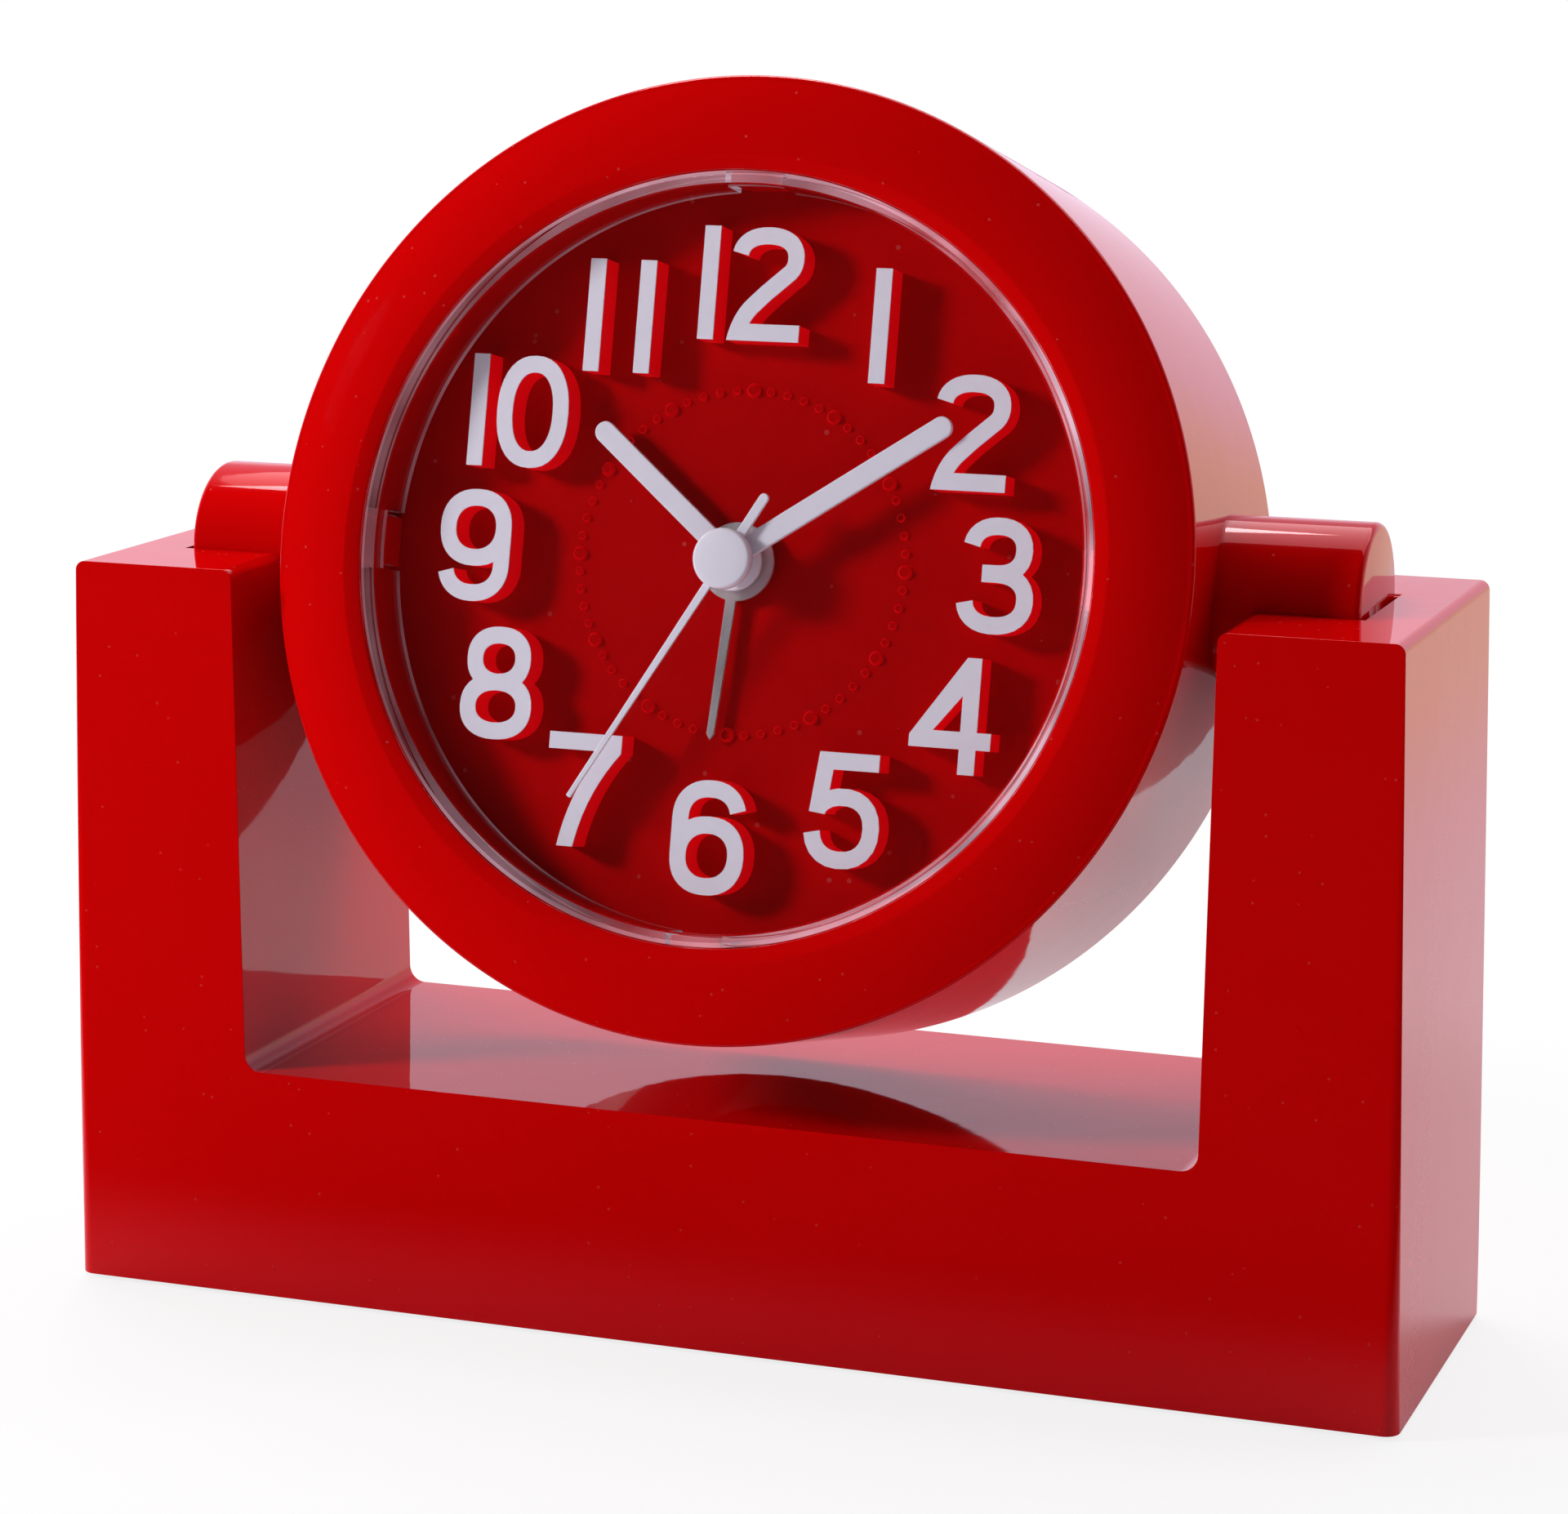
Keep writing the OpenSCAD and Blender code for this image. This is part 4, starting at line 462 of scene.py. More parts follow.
def relief_walls_group():
    """A mask of the walls that run along an axis, such as the sides of raised numerals, where the dial
    paints light
    """
    group, given, result = new_group(
        "Relief walls",
        [("Axis", "NodeSocketVector", (0, 0, 1))],
        [("Mask", "NodeSocketFloat")],
    )
    facing = vector_node(group, "DOT_PRODUCT", place_node(group, "Normal"), given.outputs["Axis"])
    flat = math_node(group, "SUBTRACT", math_node(group, "ABSOLUTE", facing), 0.35)
    mask = math_node(group, "SUBTRACT", 1, math_node(group, "MULTIPLY", flat, 3), clamp=True)
    group.links.new(mask, result.inputs["Mask"])
    return group


def lens_edges_group():
    """A mask for painted light on a lens's slanted rim and on the ends of its skirt, in patches of
    uneven strength and stronger towards the lit side
    """
    group, given, result = new_group(
        "Lens edges",
        [
            ("Axis", "NodeSocketVector", (0, 0, 1)),
            ("Middle", "NodeSocketVector", (0, 0, 0)),
            ("Lit side", "NodeSocketVector", (1, 0, 0)),
            ("Radius", "NodeSocketFloat", 0.03),
            ("Front", "NodeSocketFloat", 0.01),
        ],
        [("Mask", "NodeSocketFloat")],
    )
    axis, radius = given.outputs["Axis"], given.outputs["Radius"]
    from_middle = vector_node(group, "SUBTRACT", place_node(group), given.outputs["Middle"])
    from_axis = vector_node(group, "LENGTH", vector_node(group, "CROSS_PRODUCT", from_middle, axis))
    outer = math_node(group, "GREATER_THAN", from_axis, radius)
    height = vector_node(group, "DOT_PRODUCT", from_middle, axis)
    below = math_node(group, "LESS_THAN", height, given.outputs["Front"])
    facing = vector_node(group, "DOT_PRODUCT", place_node(group, "Normal"), axis)
    across = math_node(group, "GREATER_THAN", math_node(group, "ABSOLUTE", facing), 0.35)
    edges = math_node(group, "MULTIPLY", math_node(group, "MULTIPLY", outer, below), across)
    patches = math_node(group, "MULTIPLY", noise_node(group, 70, 2), 2.2)
    uneven = math_node(group, "ADD", patches, -0.55, clamp=True)
    # Painted highlight: the edges glow more on the side that faces the lamps
    sideways = vector_node(group, "DOT_PRODUCT", from_middle, given.outputs["Lit side"])
    share = math_node(group, "DIVIDE", sideways, radius)
    lit = math_node(group, "ADD", math_node(group, "MULTIPLY", share, 0.32), 0.62)
    strength = math_node(group, "MULTIPLY", uneven, lit)
    group.links.new(math_node(group, "MULTIPLY", edges, strength), result.inputs["Mask"])
    return group


GROUP_MAKERS = {
    "Fine grain": fine_grain_group,
    "Soft smudges": soft_smudges_group,
    "Moulded tint": moulded_tint_group,
    "Worn edge": worn_edge_group,
    "Dust specks": dust_group,
    "Relief walls": relief_walls_group,
    "Lens edges": lens_edges_group,
}


class Finish:
    """A material under construction: a surface shader and the effects that feed it"""

    def __init__(self, name, **constants):
        self.material = bpy.data.materials.new(name)
        self.material.use_nodes = True
        self.tree = self.material.node_tree
        self.shader = self.tree.nodes["Principled BSDF"]
        for label, value in constants.items():
            self.shader.inputs[label.replace("_", " ")].default_value = value

    def place(self, name, **values):
        """Places a shared group, with its own values"""
        if name not in bpy.data.node_groups:
            GROUP_MAKERS[name]()
        node = self.tree.nodes.new("ShaderNodeGroup")
        node.node_tree = bpy.data.node_groups[name]
        for label, value in values.items():
            node.inputs[label].default_value = value
        return node

    def link(self, output, label):
        """Feeds one of the shader's sockets"""
        self.tree.links.new(output, self.shader.inputs[label])

    def tint(self, colour, amount=0.06, scale=90):
        """Colours the surface with faint clouds"""
        node = self.place("Moulded tint", Colour=(*colour, 1), Amount=amount, Scale=scale)
        self.link(node.outputs["Colour"], "Base Color")

    def smudges(self, smooth, rough, scale=60):
        """Lets the roughness drift"""
        node = self.place("Soft smudges", Smooth=smooth, Rough=rough, Scale=scale)
        self.link(node.outputs["Roughness"], "Roughness")

    def grain(self, scale, strength, distance=0.0001):
        """Adds a fine grain to the surface"""
        node = self.place("Fine grain", Scale=scale, Strength=strength)
        self.bump(node.outputs["Height"], distance)

    def bump(self, height, distance):
        """Feeds a height to the normal, over any bump that is there"""
        bump = self.tree.nodes.new("ShaderNodeBump")
        bump.inputs["Distance"].default_value = distance
        bump.inputs["Strength"].default_value = 1
        self.tree.links.new(height, bump.inputs["Height"])
        if self.shader.inputs["Normal"].is_linked:
            self.tree.links.new(self.shader.inputs["Normal"].links[0].from_socket, bump.inputs["Normal"])
        self.link(bump.outputs["Normal"], "Normal")

    def mix_colour(self, mask, colour):
        """Lays a second colour over the clouded one where a mask is bright"""
        below = self.shader.inputs["Base Color"].links[0].from_socket
        self.link(blend_colours(self.tree, mask, below, colour), "Base Color")

    def glow(self, mask, colour):
        """Paints light onto the surface as a faint emission where a mask is bright; it is no lamp and
        stands in for light the lamps don't give
        """
        self.link(blend_colours(self.tree, mask, (0, 0, 0), colour), "Emission Color")
        self.shader.inputs["Emission Strength"].default_value = 1

    def wave(self, scale, distortion, direction="X"):
        """Waves along an axis of the object's own space"""
        wave = self.tree.nodes.new("ShaderNodeTexWave")
        wave.bands_direction = direction
        wave.inputs["Scale"].default_value = scale
        wave.inputs["Distortion"].default_value = distortion
        self.tree.links.new(place_node(self.tree), wave.inputs["Vector"])
        return wave.outputs["Fac"]


# Finishes

def gloss_red(colours):
    """Glossy red ABS with faint orange peel, smudges and dust"""
    finish = Finish("Gloss red plastic", IOR=1.55, Specular_Tint=(1, 0.35, 0.38, 1))
    finish.tint(colours.red, 0.05, 35)
    finish.smudges(0.02, 0.07, 30)
    finish.grain(420, 0.5, 0.000004)
    finish.grain(42, 1, 0.00004)
    specks = finish.place("Dust specks", Scale=900, Amount=0.12)
    finish.mix_colour(specks.outputs["Mask"], (0.75, 0.45, 0.42))
    return finish.material


def matt_dial_red(colours):
    """Fine textured matt red of the dial, with painted light on the sides of its raised numerals and
    beads
    """
    finish = Finish("Matt dial red", IOR=1.45, Specular_Tint=(1, 0.06, 0.06, 1))
    finish.tint(colours.dial_red, 0.12, 260)
    finish.smudges(0.38, 0.55, 120)
    finish.grain(3600, 0.9, 0.00002)
    specks = finish.place("Dust specks", Scale=500, Amount=0.2)
    finish.mix_colour(specks.outputs["Mask"], (0.6, 0.3, 0.3))
    # Painted light: the walls of the numerals and beads glow red as emission, standing in for light the
    # lamps don't put there
    walls = finish.place("Relief walls", Axis=HEAD_Z)
    finish.glow(walls.outputs["Mask"], colours.relief_painted_light)
    return finish.material


def satin_white(colours):
    """Satin white of the numeral faces, hands and cap"""
    finish = Finish("Satin white", IOR=1.46)
    finish.tint(colours.white, 0.04, 400)
    finish.smudges(0.3, 0.42, 200)
    finish.grain(2500, 0.5, 0.000006)
    return finish.material


def clear_acrylic(colours):
    """Clear polished acrylic that lets light through to the dial, with painted highlights on its cut
    edges
    """
    finish = Finish(
        "Clear acrylic", Transmission_Weight=1.0, IOR=1.49, Base_Color=(0.99, 0.985, 0.99, 1)
    )
    finish.smudges(0.0, 0.012, 40)
    sizes = bpy.context.scene.clock_sizes
    # Painted highlight: a patchy lavender emission on the lens's rim and skirt ends, brighter towards
    # the right
    edges = finish.place(
        "Lens edges",
        Axis=HEAD_Z,
        Middle=HEAD.translation,
        Radius=sizes.drum_radius - sizes.ring_width - sizes.skirt,
        Front=sizes.lens_front - 0.05 * MM,
    )
    finish.glow(edges.outputs["Mask"], colours.lens_edge_painted_light)
    tree = finish.tree
    clear = tree.nodes.new("ShaderNodeBsdfTransparent")
    clear.inputs["Color"].default_value = (0.97, 0.965, 0.97, 1)
    path = tree.nodes.new("ShaderNodeLightPath")
    passing = math_node(tree, "MAXIMUM", path.outputs["Is Shadow Ray"], path.outputs["Is Diffuse Ray"])
    surface = blend_shaders(tree, passing, finish.shader.outputs["BSDF"], clear.outputs["BSDF"])
    tree.links.new(surface, tree.nodes["Material Output"].inputs["Surface"])
    return finish.material


def metal(name, colour, smooth, rough, grain_scale, wear=0.0):
    """A metal with a fine grain and, where asked, brighter worn edges"""
    finish = Finish(name, Metallic=1.0)
    finish.tint(colour, 0.1, 300)
    finish.smudges(smooth, rough, 250)
    finish.grain(grain_scale, 0.5, 0.000006)
    if wear:
        edge = finish.place("Worn edge", Width=0.0003, Amount=wear)
        finish.mix_colour(edge.outputs["Mask"], (0.9, 0.89, 0.87))
    return finish.material


def moulded(name, colour, smooth, rough, grain_scale, depth, wear=0.0):
    """A moulded plastic or rubber with a grain and, where asked, paler worn edges"""
    finish = Finish(name, IOR=1.47)
    finish.tint(colour, 0.12, 180)
    finish.smudges(smooth, rough, 150)
    finish.grain(grain_scale, 0.8, depth)
    if wear:
        edge = finish.place("Worn edge", Width=0.0004, Amount=wear)
        finish.mix_colour(edge.outputs["Mask"], tuple(min(1, c * 1.6 + 0.08) for c in colour))
    return finish.material


def silver_hand(colours):
    """Stamped silver alarm hand with a lengthwise brush"""
    finish = Finish("Silver hand", Metallic=0.85)
    finish.tint(colours.silver, 0.05, 500)
    finish.smudges(0.3, 0.42, 600)
    finish.bump(finish.wave(1500, 1), 0.0000015)
    return finish.material


def copper_winding():
    """Enamelled copper wire wound in close turns"""
    finish = Finish("Copper winding", Metallic=1.0, Coat_Weight=0.6, Coat_Roughness=0.1)
    finish.tint((0.72, 0.3, 0.12), 0.2, 700)
    finish.smudges(0.2, 0.32, 300)
    finish.bump(finish.wave(4200, 0.4, "Z"), 0.00004)
    return finish.material


def solder_mask():
    """Green circuit board with faint copper tracks under the mask"""
    finish = Finish("Solder mask", Coat_Weight=0.5, Coat_Roughness=0.12)
    finish.tint((0.012, 0.16, 0.06), 0.1, 200)
    finish.smudges(0.2, 0.32, 200)
    tracks = math_node(finish.tree, "GREATER_THAN", finish.wave(420, 2.5), 0.82)
    finish.mix_colour(tracks, (0.05, 0.3, 0.12))
    finish.bump(tracks, 0.00003)
    return finish.material


def cell_sleeve():
    """Sleeve of the battery: dark grey, with a pale end"""
    finish = Finish("Cell sleeve", Coat_Weight=0.4, Coat_Roughness=0.15)
    finish.tint((0.05, 0.05, 0.055), 0.1, 200)
    finish.smudges(0.22, 0.34, 120)
    along = split_node(finish.tree, place_node(finish.tree))["X"]
    end = math_node(finish.tree, "LESS_THAN", along, -0.013)
    finish.mix_colour(end, (0.62, 0.6, 0.55))
    return finish.material


def make_finishes(colours):
    """Every finish by the name of the record's slot"""
    return {
        "red_gloss": gloss_red(colours),
        "red_dial": matt_dial_red(colours),
        "white_face": satin_white(colours),
        "clear": clear_acrylic(colours),
        "silver_hand": silver_hand(colours),
        "black_rubber": moulded("Black rubber", tuple(colours.black), 0.6, 0.8, 2500, 0.00003),
        "black_plastic": moulded("Black plastic", tuple(colours.black), 0.34, 0.5, 2800, 0.00002, 0.5),
        "steel": metal("Zinc plated steel", (0.55, 0.56, 0.58), 0.2, 0.36, 2200, 0.6),
        "spring_brass": metal("Spring brass", (0.72, 0.52, 0.22), 0.16, 0.3, 1800, 0.3),
        "ivory": moulded("Natural nylon", tuple(colours.ivory), 0.35, 0.5, 2000, 0.00001),
        "movement_white": moulded("Movement case white", (0.72, 0.72, 0.69), 0.3, 0.45, 2000, 0.00001),
        "magnet": metal("Sintered magnet", (0.16, 0.16, 0.18), 0.4, 0.6, 4000),
        "iron": metal("Soft iron", (0.42, 0.42, 0.44), 0.3, 0.45, 2500, 0.5),
        "copper": copper_winding(),
        "green_plastic": moulded("Green spool plastic", (0.02, 0.14, 0.05), 0.3, 0.45, 2000, 0.00001),
        "green_board": solder_mask(),
        "black_resin": moulded("Black resin", (0.012, 0.012, 0.012), 0.08, 0.22, 500, 0.00002),
        "cell": cell_sleeve(),
        "nickel": metal("Nickel plate", (0.7, 0.69, 0.66), 0.1, 0.22, 2000, 0.3),
    }


FINISHES = {}


def finish_of(slot):
    """The material of a slot. The first call makes them all."""
    if not FINISHES:
        FINISHES.update(make_finishes(bpy.context.scene.clock_colours))
    return FINISHES[slot]


# Pieces

def put(piece, body, slot, *nodes):
    """Gives a piece its slot's material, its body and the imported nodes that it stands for"""
    piece.data.materials.clear()
    piece.data.materials.append(finish_of(slot))
    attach(piece, body)
    if nodes:
        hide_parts(*nodes)


def refined(node, name, body, slot, width, steps=2):
    """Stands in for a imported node: a copy with flat faces merged and sharp edges rounded"""
    mesh = frame["nodes"][node].data.copy()
    mesh.name = name
    for layer in ("custom_normal", "sharp_edge", "sharp_face"):
        if layer in mesh.attributes:
            mesh.attributes.remove(mesh.attributes[layer])
    shape = bmesh.new()
    shape.from_mesh(mesh)
    bmesh.ops.remove_doubles(shape, verts=shape.verts, dist=2e-6)
    bmesh.ops.dissolve_limit(
        shape, angle_limit=math.radians(0.5), verts=shape.verts, edges=shape.edges, delimit=set()
    )
    shape.to_mesh(mesh)
    shape.free()
    piece = add_piece(name, mesh)
    round_edges(piece, width, steps)
    put(piece, body, slot, node)


def dress(slot, *nodes):
    """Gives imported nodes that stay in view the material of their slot"""
    for node in nodes:
        mesh = frame["nodes"][node].data
        mesh.materials.clear()
        mesh.materials.append(finish_of(slot))


class PieceOperator:
    """What every operator that makes pieces shares"""

    bl_options = {"REGISTER", "UNDO"}

    @property
    def sizes(self):
        """The scene's sizes"""
        return bpy.context.scene.clock_sizes


class CLOCK_OT_stand(PieceOperator, bpy.types.Operator):
    """Make the hollow U-shaped stand with its saddles"""

    bl_idname = "clock.stand"
    bl_label = "Stand"

    def outline(self, s, gap, half, top, less=0.0):
        """Front outline of the stand, or of its hollow where less is the wall"""
        edge = 0 if less else s.top_edge
        crook = 0 if less else s.crook
        foot = s.pad_proud - (MM if less else 0)
        return filleted([
            (-half - s.side_flare + less, foot, 0),
            (half + s.side_flare - less, foot, 0),
            (half - less, top - less, edge),
            (gap + less, top - less, edge),
            (gap - s.pillar_taper + less, s.bar_height - less, crook),
            (-gap + s.pillar_taper - less, s.bar_height - less, crook),
            (-gap - less, top - less, edge),
            (-half + less, top - less, edge),
        ])

    def cut_bores(self, piece, axis, radius, start, end, steps):
        """Cuts a round bore along the trunnions' axis on each side"""
        for side in (-1, 1):
            near, far = side * start, side * end
            profile = [(0, near), (radius, near), (radius, far), (0, far)]
            combine(piece, turned("bore", profile, axis, steps), "DIFFERENCE")

    def execute(self, context):
        s = self.sizes
        top = TILT["pos_m"][2]
        gap = s.drum_radius + s.side_gap
        half = gap + s.pillar_width
        deep = s.stand_depth / 2
        upright = Matrix.Rotation(math.pi / 2, 4, "X")
        stand = extruded("stand", self.outline(s, gap, half, top), -deep, deep, upright)
        wide = half + s.side_flare
        plan = filleted([(x, y, s.upright_edge) for x, y in rectangle(-wide, wide, -deep, deep)])
        combine(stand, extruded("plan", plan, -MM, top + MM), "INTERSECT")
        round_edges(stand, s.fine_edge, 3, 40)
        inside = self.outline(s, gap, half, top, s.stand_wall)
        hollow_deep = deep - s.stand_wall
        hollow = extruded("hollow", inside, -hollow_deep, hollow_deep, upright)
        axis = Matrix.Translation((0, 0, top)) @ ALONG_X
        saddle_wall = 2 * MM
        pocket_r = s.trunnion_radius + s.saddle_gap
        pocket_end = gap + s.trunnion_reach + 2 * s.saddle_gap
        self.cut_bores(hollow, axis, pocket_r + saddle_wall, gap, pocket_end + saddle_wall, 72)
        combine(stand, hollow, "DIFFERENCE")
        self.cut_bores(stand, axis, pocket_r, gap - 3 * MM, pocket_end, 96)
        weighted_normals(stand)
        put(stand, "stand", "red_gloss", "stand_shell")
        return {"FINISHED"}


class CLOCK_OT_base(PieceOperator, bpy.types.Operator):
    """Make the base plate, its screws and the rubber pads"""

    bl_idname = "clock.base"
    bl_label = "Base"

    def execute(self, context):
        refined("base_plate", "base", "stand", "red_gloss", 0.0002)
        refined("base_screws", "base_plate_screws", "stand", "steel", 0.00012)
        refined("foot_pads", "rubber_pads", "stand", "black_rubber", 0.0003, 3)
        return {"FINISHED"}


class CLOCK_OT_drum(PieceOperator, bpy.types.Operator):
    """Make the drum with its bulged front ring and the lens opening"""

    bl_idname = "clock.drum"
    bl_label = "Drum"

    def section(self, s):
        """Section of the drum from the rear edge round the front to the inside"""
        half = s.drum_length / 2
        bore = s.drum_radius - s.ring_width
        seat = half - s.dial_depth
        inner = s.drum_radius - s.drum_wall
        front_wall = half - s.drum_wall
        tube = bore + 1.8 * MM
        edge = 0.5 * MM
        start = s.drum_radius - edge
        lip = bore + 1.4 * MM
        steps = 28
        ring = []
        for i in range(1, steps + 1):
            share = i / steps
            ring.append((start + (lip - start) * share, half + s.ring_rise * (1 - (1 - share) ** 2)))
        # Ledge that the back cover rests against, slanted on its front side
        ledge = inner - 1.2 * MM
        ledge_back = -half + 5.5 * MM
        # Chamfers of the inner corners and of the rear edge
        corner = MM
        rear = 0.3 * MM
        return [
            (start, -half),
            *arc((start, -half + edge), edge, -90, 0, 6)[1:],
            *arc((start, half - edge), edge, 0, 90, 8),
            *ring,
            (bore + 0.15 * MM, half + s.ring_rise - 0.45 * MM),
            (bore, half + s.ring_rise - 0.62 * MM),
            (bore, seat),
            (tube, seat),
            (tube, front_wall - corner),
            (tube + corner, front_wall),
            (inner - corner, front_wall),
            (inner, front_wall - corner),
            (inner, ledge_back + 2.7 * MM),
            (ledge, ledge_back + 1.5 * MM),
            (ledge, ledge_back),
            (inner, ledge_back),
            (inner, -half + rear),
            (inner + rear, -half),
        ]

    def execute(self, context):
        s = self.sizes
        drum = turned("drum", self.section(s), HEAD, 288)
        weighted_normals(drum)
        put(drum, "head", "red_gloss", "drum_case")
        bore = s.drum_radius - s.ring_width
        seat = s.drum_length / 2 - s.dial_depth
        key_half = 2.6 * MM
        key_height = 3.7 * MM
        corners = rectangle(bore - s.skirt, bore + MM, -key_half, key_half)
        key_outline = filleted([(*corner, r * MM) for corner, r in zip(corners, (0.3, 0, 0, 0.3))])
        for i in range(4):
            turn = Matrix.Rotation(i * math.pi / 2, 4, "Z")
            key = extruded(f"lens_key_{i + 1}", key_outline, seat, seat + key_height, HEAD @ turn)
            round_edges(key, 0.0002)
            put(key, "head", "red_gloss")
        return {"FINISHED"}


class CLOCK_OT_trunnions(PieceOperator, bpy.types.Operator):
    """Make the two stubs that the drum tilts on, with their screws"""

    bl_idname = "clock.trunnions"
    bl_label = "Trunnions"

    def execute(self, context):
        s = self.sizes
        # Each stub starts a little inside the drum's round side
        start = s.drum_radius - 1.2 * MM
        end = s.drum_radius + s.side_gap + s.trunnion_reach
        edge = 0.7 * MM
        for side, name in ((-1, "trunnion_left"), (1, "trunnion_right")):
            outline = [(0, start), (s.trunnion_radius, start)]
            outline += arc((s.trunnion_radius - edge, end - edge), edge, 0, 90, 8)
            outline += [(0, end)]
            turn = Matrix.Rotation(0 if side > 0 else math.pi, 4, "Z")
            stub = turned(name, outline, Matrix.Translation(TILT["pos_m"]) @ turn @ ALONG_X, 120)
            smooth_shading(stub, 40)
            put(stub, "head", "red_gloss", "trunnions")
        dress("steel", "trunnion_screws", "pivot_screws")
        dress("spring_brass", "friction_washers")
        return {"FINISHED"}


class CLOCK_OT_lens(PieceOperator, bpy.types.Operator):
    """Make the clear lens with its chamfered rim and notched skirt"""

    bl_idname = "clock.lens"
    bl_label = "Lens"

    def execute(self, context):
        s = self.sizes
        play = 0.1 * MM
        rim = s.drum_radius - s.ring_width - play
        inner = rim - s.skirt
        bottom = s.drum_length / 2 - s.dial_depth + 0.2 * MM
        front = s.lens_front
        back = front - s.lens_thickness
        chamfer = 0.55 * MM
        crook = 0.25 * MM
        fine = 0.1 * MM
        outline = filleted([
            (0, back, 0), (inner, back, crook), (inner, bottom, fine), (rim, bottom, fine),
            (rim, front - chamfer, fine), (rim - chamfer, front, fine), (0, front, 0),
        ])
        lens = turned("lens_cup", outline, None, 240)
        notch_half = 3 * MM
        notch_height = 3.9 * MM
        notch = rectangle(rim - 2 * s.skirt, rim + MM, -notch_half, notch_half)
        for i in range(4):
            turn = Matrix.Rotation(i * math.pi / 2, 4, "Z")
            cutter = extruded("notch", notch, bottom - MM, bottom + notch_height, turn)
            combine(lens, cutter, "DIFFERENCE")
        lens.data.transform(HEAD)
        smooth_shading(lens, 30)
        put(lens, "head", "clear", "lens")
        return {"FINISHED"}


class CLOCK_OT_dial(PieceOperator, bpy.types.Operator):
    """Make the dial with its raised numerals, their white faces and the ring of beads"""

    bl_idname = "clock.dial"
    bl_label = "Dial"

    def execute(self, context):
        refined("dial", "dial_plate", "head", "red_dial", 0.00007)
        refined("numeral_faces", "white_numerals", "head", "white_face", 0.00006)
        dress("steel", "dial_screws")
        return {"FINISHED"}


class CLOCK_OT_hands(PieceOperator, bpy.types.Operator):
    """Make the four hands and the cap over them"""

    bl_idname = "clock.hands"
    bl_label = "Hands"

    def execute(self, context):
        refined("hour_hand", "hour_pointer", "hour", "white_face", 0.00014, 3)
        refined("minute_hand", "minute_pointer", "minute", "white_face", 0.00014, 3)
        refined("second_hand", "seconds_pointer", "second", "white_face", 0.0001, 3)
        refined("alarm_hand", "alarm_pointer", "alarm", "silver_hand", 0.00008)
        self.make_cap(self.sizes.cap_radius)
        return {"FINISHED"}

    def make_cap(self, radius):
        """Makes the domed cap with its rounded rim"""
        low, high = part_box("hand_cap")
        middle = HEAD.inverted() @ ((low + high) / 2)
        base = middle.z - 0.5 * MM
        chamfer = 0.1 * MM
        shoulder = base + 0.93 * MM
        edge = 0.42 * MM
        outline = [(0, base), (radius - chamfer, base), (radius, base + chamfer)]
        outline += arc((radius - edge, shoulder - edge), edge, 0, 84, 8)
        outline += [(radius * 0.5, base + 0.975 * MM), (0, base + MM)]
        cap = turned("cap", outline, HEAD, 96)
        smooth_shading(cap, 40)
        put(cap, "second", "white_face", "hand_cap")


class CLOCK_OT_movement(PieceOperator, bpy.types.Operator):
    """Finish the movement: wheels, plates, motor and circuit board"""

    bl_idname = "clock.movement"
    bl_label = "Movement"

    slots = {
        "ivory": (
            "alarm_wheel", "hour_wheel", "minute_pinion", "motion_wheel",
            "second_wheel", "centre_wheel", "third_wheel", "fifth_wheel",
        ),
        "movement_white": ("movement_front_case", "middle_plate", "movement_back_case"),
        "steel": ("movement_screws",),
        "magnet": ("rotor",),
        "iron": ("stator", "coil_core"),
        "green_plastic": ("coil_bobbin",),
        "copper": ("coil_winding",),
        "green_board": ("circuit_board",),
        "nickel": ("quartz_crystal",),
        "black_resin": ("control_chip",),
        "spring_brass": ("alarm_contact",),
    }

    def execute(self, context):
        for slot, nodes in self.slots.items():
            dress(slot, *nodes)
        return {"FINISHED"}


class CLOCK_OT_back(PieceOperator, bpy.types.Operator):
    """Make the back cover, its door, knobs, switch and screws"""

    bl_idname = "clock.back"
    bl_label = "Back"

    def execute(self, context):
        refined("back_cover", "rear_cover", "head", "red_gloss", 0.0002)
        refined("battery_door", "rear_door", "door", "red_gloss", 0.00015)
        refined("back_screws", "rear_screws", "head", "steel", 0.0001)
        refined("time_knob", "time_setter", "time_knob", "black_plastic", 0.00012)
        refined("alarm_knob", "alarm_setter", "alarm_knob", "black_plastic", 0.00012)
        refined("alarm_switch", "switch_slider", "switch", "black_plastic", 0.00012)
        dress("spring_brass", "switch_retainer", "buzzer_disc")
        return {"FINISHED"}


class CLOCK_OT_battery(PieceOperator, bpy.types.Operator):
    """Finish the battery and its contacts"""

    bl_idname = "clock.battery"
    bl_label = "Battery"

    def execute(self, context):
        refined("battery", "cell", "head", "cell", 0.0003, 3)
        dress("nickel", "plus_contact", "minus_contact")
        return {"FINISHED"}


# Stage

def ray_kinds(tree):
    """1 for rays that see the plain background, and 1 for rays that come off a gloss"""
    path = tree.nodes.new("ShaderNodeLightPath").outputs
    straight = math_node(tree, "LESS_THAN", path["Glossy Depth"], 0.5)
    through = math_node(tree, "MULTIPLY", path["Is Transmission Ray"], straight)
    seen = math_node(tree, "MAXIMUM", path["Is Camera Ray"], through)
    either = math_node(tree, "MAXIMUM", path["Is Glossy Ray"], path["Is Transmission Ray"])
    return seen, math_node(tree, "MULTIPLY", either, math_node(tree, "SUBTRACT", 1, seen))


def rise(tree, value, start, end, low=0.0):
    """A smooth rise from a low value to 1, while a socket's value goes from start to end"""
    span = tree.nodes.new("ShaderNodeMapRange")
    span.interpolation_type = "SMOOTHSTEP"
    span.inputs["From Min"].default_value = start
    span.inputs["From Max"].default_value = end
    span.inputs["To Min"].default_value = low
    tree.links.new(value, span.inputs["Value"])
    return span.outputs["Result"]


